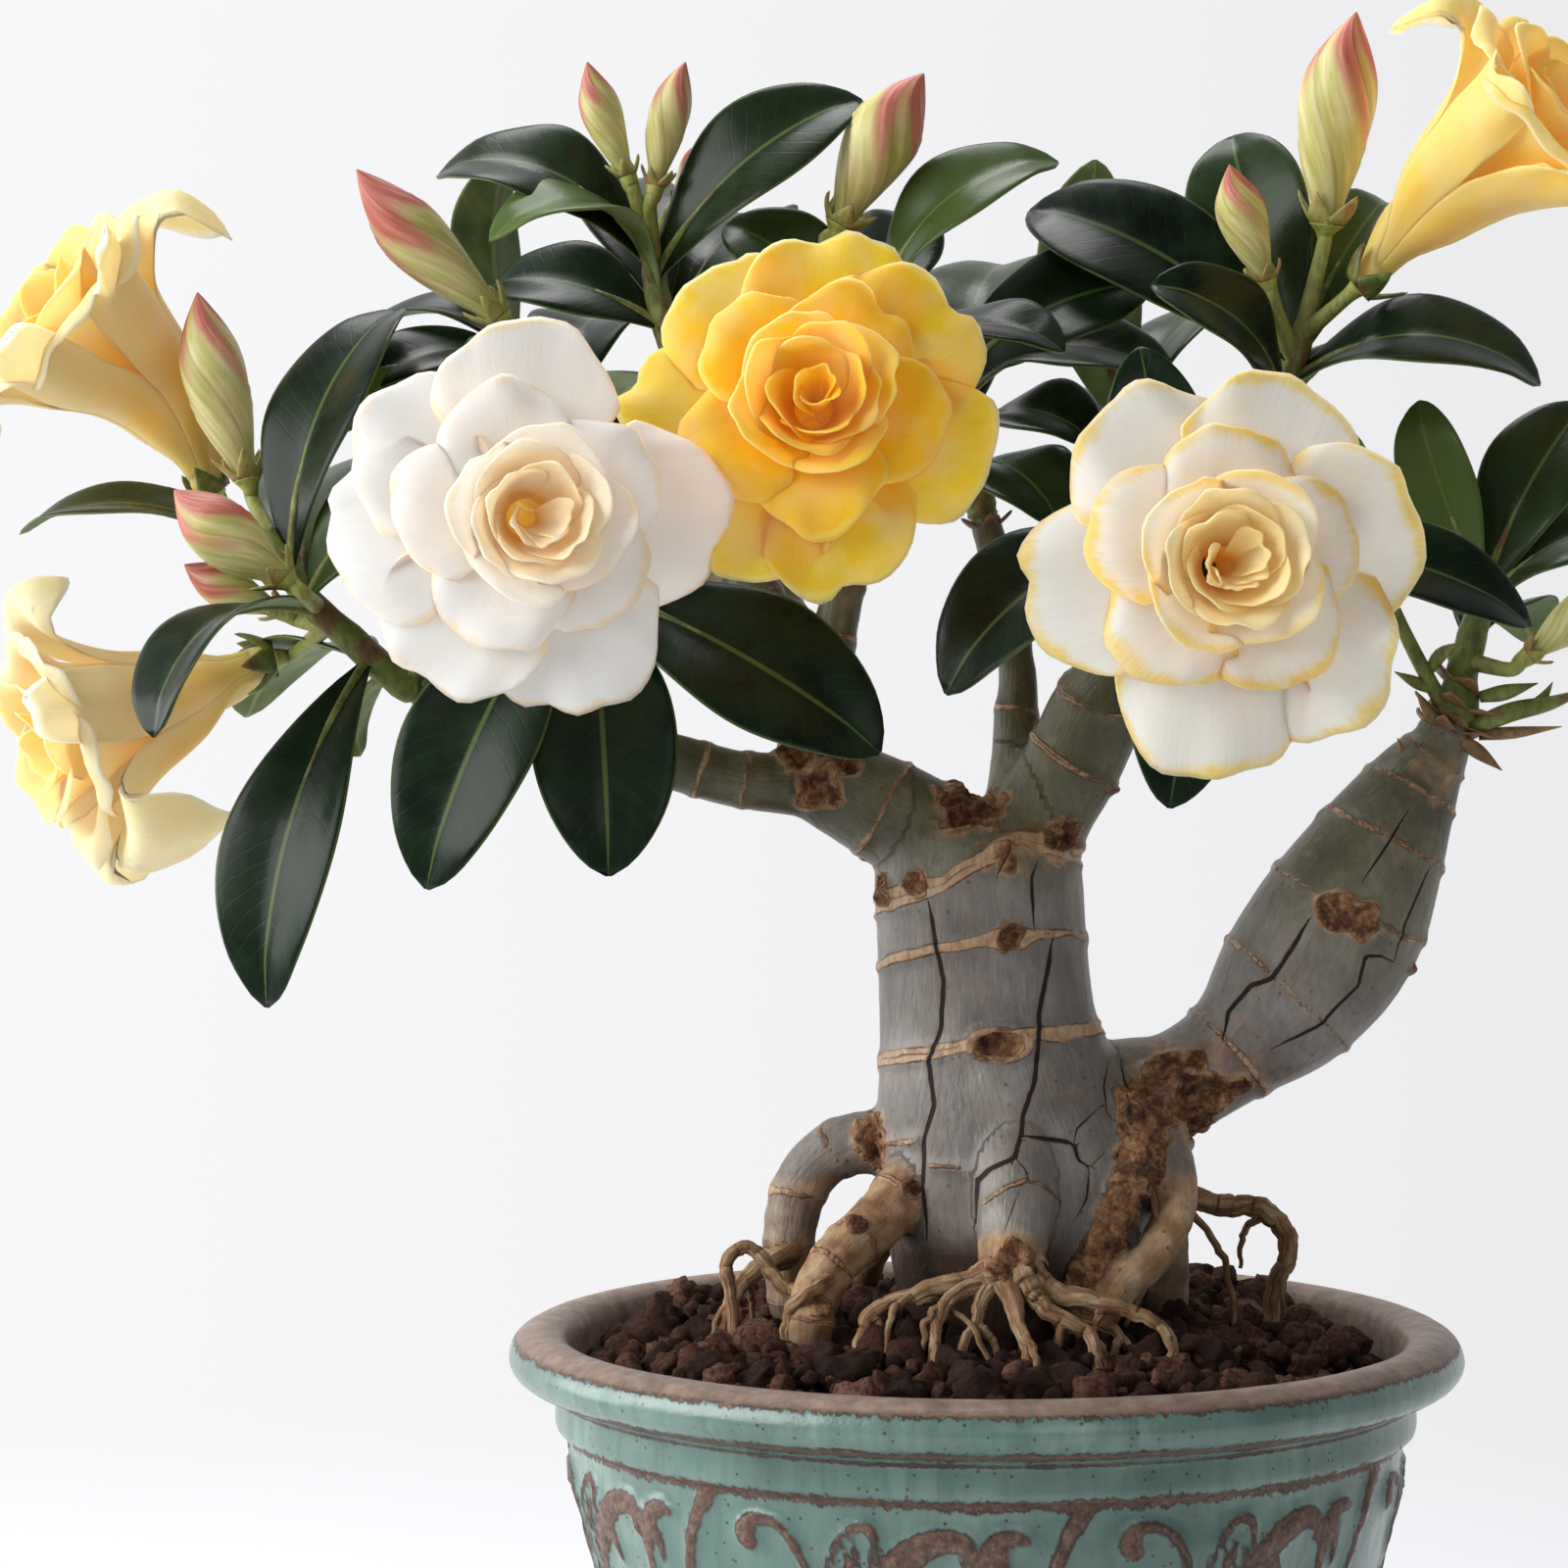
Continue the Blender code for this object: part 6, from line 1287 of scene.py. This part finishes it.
leafyStems = dict(
    leafy_stem_left_end=dict(
        branch="leftLong", path=[(-122, -10, 277, 3), (-134, -8, 288, 2.7), (-141, -5, 299, 2.2)],
        stalks=dict(bloom_yellow_upper_left=0.95, bloom_cream_lower_left=0.5, bud_left_front=0.6,
                    bud_left_low=0.45, bud_left_tall=0.9),
        leaves=[  # share along the stem, tip, width, arch, the way the upper side looks, youth
            (0.55, (-160, -44, 262), 24, 11, (-0.5, -0.35, 0.8), 0),
            (0.25, (-140, -32, 209), 26, 9, (-0.5, -0.85, 0.1), 0),
            (0.75, (-192, 4, 301), 20, 10, (0, -0.3, 0.95), 0.1),
            (0.15, (-126, 16, 256), 14, 3, (-0.3, -0.4, 0.8), 0.8),
            (0.8, (-117, 16, 346), 25, 9, (-0.6, -0.75, 0.3), 0),
            (0.65, (-104, -12, 314), 22, 6, (-0.2, -0.7, 0.7), 0.3),
            (0.2, (-152, 50, 263), 24, 8, (-0.3, 0.5, 0.8), 0),
            (0.7, (-136, 52, 312), 24, 8, (-0.1, 0.6, 0.8), 0.2)]),
    leafy_stem_front_left=dict(
        branch="frontLeftBranch", path=[(-77, -20, 289, 3), (-84, -24, 295, 2.4)],
        stalks=dict(bloom_white_pink=0.9),
        leaves=[
            (0.7, (-108, -47, 233), 28, 8, (-0.3, -0.9, 0.4), 0),
            (0.5, (-73, -48, 235.5), 28, 7, (0.1, -0.95, 0.4), 0),
            (0.5, (-21.5, -44, 259), 29, 6, (0.2, -0.9, 0.45), 0),
            (0.9, (-118, -34, 290), 22, 7, (-0.2, -0.5, 0.85), 0.2),
            (0.8, (-100, -30, 338), 20, 5, (-0.3, -0.9, 0.3), 0.1),
            (0.6, (-62, -28, 330), 20, 5, (0.3, -0.9, 0.3), 0)]),
    leafy_stem_top_left=dict(
        branch="topLeft", path=[(-61, 12, 333, 3), (-65, 12, 347, 2.6), (-66, 12, 354, 2.2)],
        stalks=dict(bud_top_left=0.97, bud_top_middle=0.97, bud_top_small=0.9),
        leaves=[
            (0.95, (-110, 20, 373), 24, 12, (-0.1, -0.6, 0.85), 0.05),
            (0.8, (-98, -8, 358), 22, 13, (0.05, -0.3, 0.95), 0.55),
            (0.6, (-100, 24, 350), 22, 6, (-0.2, -0.6, 0.8), 0),
            (0.9, (-24.5, 5, 386.5), 25, 8, (-0.5, -0.75, 0.45), 0.05),
            (0.7, (-78, 62, 372), 24, 8, (-0.2, 0.5, 0.85), 0),
            (0.5, (-40, 58, 366), 24, 8, (0.2, 0.5, 0.85), 0.1)]),
    leafy_stem_middle=dict(
        branch="middle", path=[(-22, 5, 323, 3), (-21, 4, 337, 2.6), (-21, 3, 345, 2.2)],
        stalks=dict(bloom_yellow=0.55, bud_middle=0.95),
        leaves=[
            (0.9, (-16, 30, 366), 20, 2, (0, -0.8, 0.5), 0),
            (0.95, (14, -2, 374), 22, 10, (0, -0.55, 0.85), 0.35),
            (0.8, (-52, 8, 362), 19, 5, (-0.2, -0.7, 0.6), 0.2),
            (0.6, (14, -26, 336), 20, 7, (0.1, -0.5, 0.85), 0),
            (0.4, (-58, -10, 318), 20, 6, (-0.1, -0.6, 0.8), 0),
            (0.5, (-24, 58, 346), 24, 9, (0, 0.4, 0.9), 0)]),
    leafy_stem_centre=dict(
        branch="centre", path=[(-3, 18, 313, 3), (-5, 19, 324, 2.6), (-5, 19, 332, 2.2)], stalks={},
        leaves=[
            (0.95, (33, 11, 350), 26, 7, (-0.1, -0.75, 0.65), 0),
            (0.8, (38, 0, 330), 24, 10, (0.1, -0.5, 0.85), 0.05),
            (0.5, (21, -10, 318), 22, 7, (0.1, -0.6, 0.8), 0),
            (0.3, (14, -16, 302), 22, 6, (0.1, -0.7, 0.7), 0.1),
            (0.6, (-12, 74, 330), 25, 9, (0, 0.4, 0.9), 0),
            (0.9, (8, 62, 356), 24, 8, (0.1, 0.4, 0.9), 0.15)]),
    leafy_stem_right=dict(
        branch="rightUp", path=[(56, 6, 318, 3), (60, 6, 330, 2.7), (63, 5, 341, 2.2)],
        stalks=dict(bloom_yellow_upper_right=0.95, bud_right_small=0.8, bud_right_tall=0.98),
        leaves=[
            (0.8, (9, 25, 366), 27, 9, (-0.1, -0.75, 0.6), 0),
            (0.5, (31.5, -15, 349), 22, 8, (-0.1, -0.7, 0.7), 0),
            (0.85, (50, 26, 381), 25, 5, (-0.3, -0.9, 0.2), 0.1),
            (0.95, (82, 26, 368), 20, 6, (0, -0.8, 0.5), 0.3),
            (0.65, (109, -6, 330), 25, 11, (0, -0.55, 0.85), 0),
            (0.5, (98, 34, 338), 25, 8, (0.2, 0.3, 0.9), 0),
            (0.75, (74, 66, 352), 25, 9, (0.1, 0.4, 0.9), 0)]),
    leafy_stem_front_right=dict(
        branch="right", path=[(35, -15, 289, 2.8), (38, -19, 294, 2.3)],
        stalks=dict(bloom_white_gold=0.9),
        leaves=[
            (0.9, (-10, -42, 270), 29, 13, (-0.5, -0.7, 0.55), 0),
            (0.5, (33.5, -41, 248), 22, 6, (0.2, -0.95, 0.35), 0),
            (0.9, (104, -30, 283), 22, 11, (0.1, -0.7, 0.7), 0),
            (0.8, (28, -30, 336), 20, 5, (-0.1, -0.9, 0.3), 0),
            (0.7, (64, -36, 262), 22, 7, (0.3, -0.7, 0.6), 0.1)]),
    leafy_stem_side_branch=dict(
        branch="swollen", path=[(95.5, 12.5, 271, 3.4), (98, 12.5, 281, 2.8), (101, 12.5, 292, 2.4)],
        stalks=dict(bud_far_right=0.4), scales=4, collars=(0.0, 0.07, 0.16, 0.28),
        shoots=[  # points with radii, and whether dry and brown
            ([(94, 12, 264, 2.2), (90.5, 10, 268, 1.7), (84.5, 9, 279, 1.5), (82, 9, 285, 1.1)], False),
            ([(88.5, 10, 272, 0.9), (91, 9, 276, 1.5), (94.8, 8, 278.5, 0.1)], False),
            ([(89, 10, 269, 0.9), (86, 9, 270.5, 1.3), (81.8, 9, 272.6, 0.1)], False),
            ([(99, 10, 267.5, 1.2), (104, 9, 268.5, 1.7), (110.5, 9, 270.3, 0.1)], False),
            ([(97, 11, 261, 1.8), (105, 9, 264.5, 2.1), (113, 8, 266.4, 1.5), (121, 8, 269.5, 0.1)], False),
            ([(108, 9, 265, 0.9), (111.5, 9, 267.5, 1.0), (113.4, 9, 270.5, 0.1)], False),
            ([(99, 11, 260, 1.3), (106, 10, 260.4, 1.3), (115.5, 10, 261.6, 0.1)], True),
            ([(95, 9, 259, 1.3), (98.5, 7, 256.6, 1.6), (103, 6, 253.0, 0.1)], True),
            ([(91, 9, 262, 1.2), (88.4, 8, 264.6, 1.1), (86, 8, 268.8, 0.1)], True),
            ([(87, 10, 254.5, 1.1), (84, 8, 255.8, 1.2), (82.4, 8, 259.4, 0.1)], True)],
        leaves=[
            (0.9, (86.5, 14, 327), 16, 4, (-0.5, -0.8, 0.2), 0.5),
            (0.85, (122, 20, 327), 22, 5, (-0.4, -0.8, 0.4), 0.1),
            (0.7, (134, 8, 302), 20, 7, (0, -0.5, 0.85), 0.1),
            (0.5, (116, 50, 278), 20, 7, (0.1, 0.4, 0.9), 0),
            (0.8, (103, 52, 312), 20, 6, (0, 0.5, 0.85), 0.2)]),
    leafy_stem_back_left=dict(
        branch="backLeft", path=[(-86, 32, 323, 3), (-92, 33, 332, 2.4)],
        stalks=dict(bud_back_left=0.9),
        leaves=[
            (0.8, (-125, 8, 329), 20, 9, (0, -0.5, 0.85), 0),
            (0.7, (-139, 0, 315), 13, 12, (-0.1, -0.7, 0.6), 0.8),
            (0.9, (-128, 34, 340), 22, 10, (-0.1, -0.2, 0.95), 0),
            (0.6, (-104, 84, 316), 25, 9, (-0.1, 0.4, 0.9), 0),
            (0.5, (-76, 72, 344), 24, 9, (0.1, 0.4, 0.9), 0),
            (0.95, (-98, 50, 378), 22, 6, (-0.5, 0.5, 0.5), 0.3)]),
    leafy_stem_back=dict(
        branch="back", path=[(-50, 50, 320, 3), (-50, 54, 330, 2.4)], stalks={},
        leaves=[
            (0.5, (-78, 98, 328), 24, 9, (-0.2, 0.3, 0.9), 0),
            (0.7, (-44, 112, 322), 26, 10, (0, 0.4, 0.9), 0),
            (0.6, (-10, 94, 344), 24, 9, (0.2, 0.3, 0.9), 0.1),
            (0.3, (-66, 90, 286), 25, 8, (-0.2, 0.6, 0.7), 0)]),
    leafy_stem_back_right=dict(
        branch="backRight", path=[(32, 50, 313, 3), (32, 55, 322, 2.4)], stalks={},
        leaves=[
            (0.9, (60, 88, 350), 24, 8, (0.1, 0.3, 0.9), 0.1),
            (0.7, (30, 112, 322), 26, 10, (0, 0.4, 0.9), 0),
            (0.6, (84, 70, 314), 25, 9, (0.2, 0.2, 0.9), 0),
            (0.9, (24, 56, 378), 24, 6, (-0.3, 0.5, 0.5), 0.25),
            (0.3, (54, 90, 280), 25, 8, (0.2, 0.6, 0.7), 0)]),
)


def glossyLeaf():
    # dark waxy green, pale midrib and margin, faint side veins, a paler and duller underside
    finish = Finish("glossyLeaf", 0.4, Specular_IOR_Level=0.17)
    along, across, under, young, tone = finish.marks("along", "across", "under", "young", "tone")
    side, clouds = abs(across), finish.noise(8)
    top = clouds.ramp((0.3, 6, 16, 9), (0.5, 11, 27, 14), (0.75, 20, 41, 20))
    top = finish.mix(tone * 0.3, top, (34, 54, 30))
    top = finish.mix(young * 0.9, top, (104, 128, 60))
    slant = along * 17 - side * 2.6 + clouds * 0.9
    vein = abs(finish.math("FRACT", slant) - 0.5).fade(0, 0.09, 1, 0)
    top = finish.mix(vein * 0.05, top, (84, 108, 66))
    top = finish.mix(side.fade(0.02, 0.05, 1, 0) * 0.6, top, (96, 114, 58))
    top = finish.mix(side.fade(0.955, 0.985) * 0.55, top, (100, 112, 62))
    below = clouds.ramp((0.3, 88, 108, 62), (0.6, 122, 138, 88), (0.8, 146, 158, 110))
    below = finish.mix(vein * 0.3, below, (76, 96, 52))
    below = finish.mix(side.fade(0.04, 0.1, 0.6, 0), below, (166, 172, 118))
    return finish.feed(Base_Color=finish.mix(under, top, below),
                       Roughness=clouds.fade(0.3, 0.7, 0.25, 0.34) + under * 0.25,
                       Normal=finish.bump(clouds * 0.6 - vein * 0.05, 0.5, 0.45))


def leafBlade(base, tip, width, arch, face, rng):
    base, tip, face = np.array(base, float), np.array(tip, float), np.array(face, float)
    chord = tip - base
    rise = face - chord * (face @ chord) / (chord @ chord)
    bend = (base + tip) / 2 + 2 * arch * unit(rise)
    share = np.linspace(0, 1, leafShape["rows"])
    t = (share * (1.28 - 0.28 * share))[:, None]
    s = np.sin(np.linspace(1, -1, leafShape["columns"]) * 1.4)[None, :] / math.sin(1.4)
    middle = (1 - t) ** 2 * base + 2 * t * (1 - t) * bend + t ** 2 * tip
    along = unit((1 - t) * (bend - base) + t * (tip - bend))
    sideways = unit(np.cross(along, rise))
    up = np.cross(sideways, along)
    body = np.sin(np.pi * np.clip(t, 0, 0.9985) ** 1.36) ** 0.62
    half = width / 2 * np.maximum(body, 0.085 * (1 - t))
    fold = np.sqrt(s * s + 0.01) - 0.1
    waves = leafShape["wave"] * s * s * np.sin(t * rng.uniform(7, 13) + rng.uniform(0, 6) + (s > 0) * 2)
    waves = waves * np.sin(np.pi * np.clip(t, 0, 1))
    hook = -1.2 * ease(0.86, 1.0, t) + 0 * s
    lift = fold * half * leafShape["fold"] * (1 - 0.35 * s * s) + waves + hook
    points = middle[:, None] + sideways[:, None] * (s * half)[..., None] + up[:, None] * lift[..., None]
    return points, np.broadcast_to(t, points.shape[:2]), np.broadcast_to(s, points.shape[:2])


def addStalk(stem, flower, start, rng):  # from the stem to the seat of a bloom or bud, with a cup of sepals
    if flower in blooms:
        plan = blooms[flower]
        seat, rise, cup = np.array(plan["seat"]), unit(plan["rise"]), 2.5
    else:
        seat, tip, radius = buds[flower]
        rise, seat, cup = unit(np.subtract(tip, seat)), np.array(seat), 0.45 * radius
    path = smoothPath([(*start, 1.9), (*(seat - 5 * rise), 1.5), (*(seat - 2 * rise), 1.7), (*seat, cup)], 6)
    stem.addSweep(path, stemShape["stalkSides"], soft, (0, 1), (0.25, 0.85))
    if flower in blooms:
        reach, length = (4.6, 7) if plan["whorls"] is trumpet else (2.4, 8.5)
        sepalRing(stem, seat - 0.4 * rise, rise, reach, length, soft, rng)


def addLeaf(stem, base, tip, width, arch, face, young, rng):
    points, along, across = leafBlade(base, tip, width, arch, face, rng)
    verts, faceLists, under = sheet(points, leafShape["thickness"])
    stem.add(verts, faceLists, foliage, along=both(along), across=both(across), under=under, young=young,
             tone=rng.uniform())
    middle = points[:, leafShape["columns"] // 2]
    start = base - 0.6 * unit(middle[3] - base)
    petiole = smoothPath([(*start, 1.4), (*middle[2], 1.2), (*middle[5], 0.95), (*middle[9], 0.55)], 4)
    stem.addSweep(petiole, stemShape["petioleSides"], soft, (0.4, 1))


def makeStem(name, plan, number):
    rng = np.random.default_rng(stemShape["seed"] + number)
    limb = np.array(caudexLimbs[plan["branch"]], float)
    heading = unit(limb[-1, :3] - limb[-2, :3])
    foot, girth = limb[-1, :3] + 0.3 * heading, limb[-1, 3] - 0.2
    spots = [(*foot, girth), (*(foot + 3 * heading), girth), *plan["path"]]
    core = np.array(spots)[:, :3]
    rows = smoothPath([(*(foot - 2.5 * heading), girth * 0.9), *spots,
                       (*(core[-1] + 2.2 * unit(core[-1] - core[-2])), 0.9)], 7)
    stem = Parts()
    sides = stemShape["sides"]
    turn = np.arange(sides) * math.tau / sides
    ring = np.broadcast_to(np.stack([np.cos(turn), np.sin(turn)], -1) * 3, (len(rows), sides, 2))
    step = np.broadcast_to(np.arange(len(rows))[:, None, None] * 0.8, (len(rows), sides, 1))
    bumps = grain(np.concatenate([ring, step], 2).reshape(-1, 3), 2.4, number).reshape(-1, sides)
    stem.addSweep(rows, sides, soft, (0.2, 1), swell=1 + 0.14 * bumps)
    for flower, place in plan["stalks"].items():
        addStalk(stem, flower, placeAlong(core, place), rng)
    for place, *leaf in plan["leaves"]:
        addLeaf(stem, placeAlong(core, place), *leaf, rng)
    for _ in range(plan.get("scales", stemShape["scales"])):
        spot = placeAlong(core, rng.uniform(0.1, 0.9))
        out = unit(rng.normal(size=3) * (1, 1, 0.3))
        path = [(*spot, 1.2), (*(spot + out * 3.0 + heading * 0.8), 0.9),
                (*(spot + out * 4.6 + heading * 2.6), 0.15)]
        stem.addSweep(smoothPath(path, 3), stemShape["scaleSides"], soft, (0.2, 0.7))
    for path, brown in plan.get("shoots", []):
        path = smoothPath([(*spot[:3], 0.95 * spot[3]) for spot in path], 4)
        stem.addSweep(path, stemShape["shootSides"], dry if brown else soft, (0.4, 1), (0.1, 0.1))
    for share in plan.get("collars", (0.0,)):        # dry scales round the foot of the stem
        spot, thick = placeAlong(rows[:, :3], share), placeAlong(rows[:, [0, 1, 3]], share)[2]
        rise = unit(heading + rng.normal(0, 0.12, 3))
        sepalRing(stem, spot, rise, 1.3 * thick, rng.uniform(1.4, 2.6), dry, rng, 0.85)
    piece = stem.piece(name.replace("leafy_stem", "leaves"), leafMaterial, stemGreen, dryScale)
    settle(piece, name)


leafMaterial = glossyLeaf()
for stemNumber, (stemName, stemPlan) in enumerate(leafyStems.items()):
    makeStem(stemName, stemPlan, stemNumber)
print("leafy stems grown")


# Studio: a pale floor that fades into a pale room, a large soft light from the left, and the camera

studio = dict(
    floorRadius=1.1, floorFade=(0.3, 0.8), floorColour=(236, 237, 240), roomColour=(250, 250, 252),
    # How the room's light fades along each axis: from, to, strength there and strength here
    roomFades=dict(Y=(-0.5, 0.75, 0.3, 1.0), X=(-0.3, 0.7, 1.0, 0.7), Z=(0.3, 0.9, 1.0, 0.6)),
    lights=dict(  # place, size, power
        key=((-1.8, -0.7, 1.1), 1.7, 46), fill=((0.7, -2.2, 0.9), 1.2, 5), top=((-0.3, 0.7, 1.9), 1.0, 16),
        side=((-1.6, 0.4, 0.5), 1.0, 10)),
    lightAim=(0, 0, 0.25), cameraPlace=(-0.040, -1.0, 0.300), cameraAim=(-0.040, 0, 0.2506), lens=116.1,
)


def paleFloor():
    finish = Finish("paleFloor", 0.9, Specular_IOR_Level=0.1)
    colour = finish.mix(finish.noise(300), studio["floorColour"], (232, 233, 236))
    middle = finish.value("VectorMath", "Value", {0: finish.place}, operation="LENGTH")
    return finish.feed(Base_Color=colour, Alpha=middle.fade(*studio["floorFade"], 1, 0),
                       Normal=finish.bump(finish.noise(2), 0.2, 0.2))


def paleRoom():  # brightest behind the plant, dimmer in front of it, to the right and overhead
    world = bpy.data.worlds.new("paleRoom")
    bpy.context.scene.world = world
    world.use_nodes = True
    tree = world.node_tree
    background = tree.nodes["Background"]
    background.inputs["Color"].default_value = tint(*studio["roomColour"])
    heading = tree.nodes.new("ShaderNodeSeparateXYZ")
    tree.links.new(tree.nodes.new("ShaderNodeTexCoord").outputs["Generated"], heading.inputs[0])
    strength = None
    for axis, values in studio["roomFades"].items():
        fade = tree.nodes.new("ShaderNodeMapRange")
        fade.interpolation_type = "SMOOTHSTEP"
        tree.links.new(heading.outputs[axis], fade.inputs["Value"])
        for socket, value in zip(("From Min", "From Max", "To Min", "To Max"), values):
            fade.inputs[socket].default_value = value
        times = tree.nodes.new("ShaderNodeMath")
        times.operation = "MULTIPLY"
        times.inputs[0].default_value = 1.0
        if strength:
            tree.links.new(strength, times.inputs[0])
        tree.links.new(fade.outputs["Result"], times.inputs[1])
        strength = times.outputs[0]
    tree.links.new(strength, background.inputs["Strength"])


def aimed(obj, place, aim):
    obj.location = place
    obj.rotation_euler = (Vector(aim) - Vector(place)).to_track_quat("-Z", "Y").to_euler()
    return obj


def makeStudio():
    bpy.ops.mesh.primitive_circle_add(vertices=128, radius=studio["floorRadius"], fill_type="NGON")
    floor = bpy.context.object
    floor.name = "paleFloor"
    floor.data.materials.append(paleFloor())
    paleRoom()
    for name, (place, size, power) in studio["lights"].items():
        light = bpy.data.lights.new(name + "Light", "AREA")
        light.shape, light.size, light.energy = "DISK", size, power
        aimed(show(name + "Light", light), place, studio["lightAim"])
    camera = show("photoCamera", bpy.data.cameras.new("photoCamera"))
    camera.data.lens, camera.data.sensor_width, camera.data.clip_start = studio["lens"], 36, 0.01
    bpy.context.scene.camera = aimed(camera, studio["cameraPlace"], studio["cameraAim"])
    bpy.context.scene.view_settings.view_transform = "Standard"


makeStudio()
print("studio lit, camera placed")
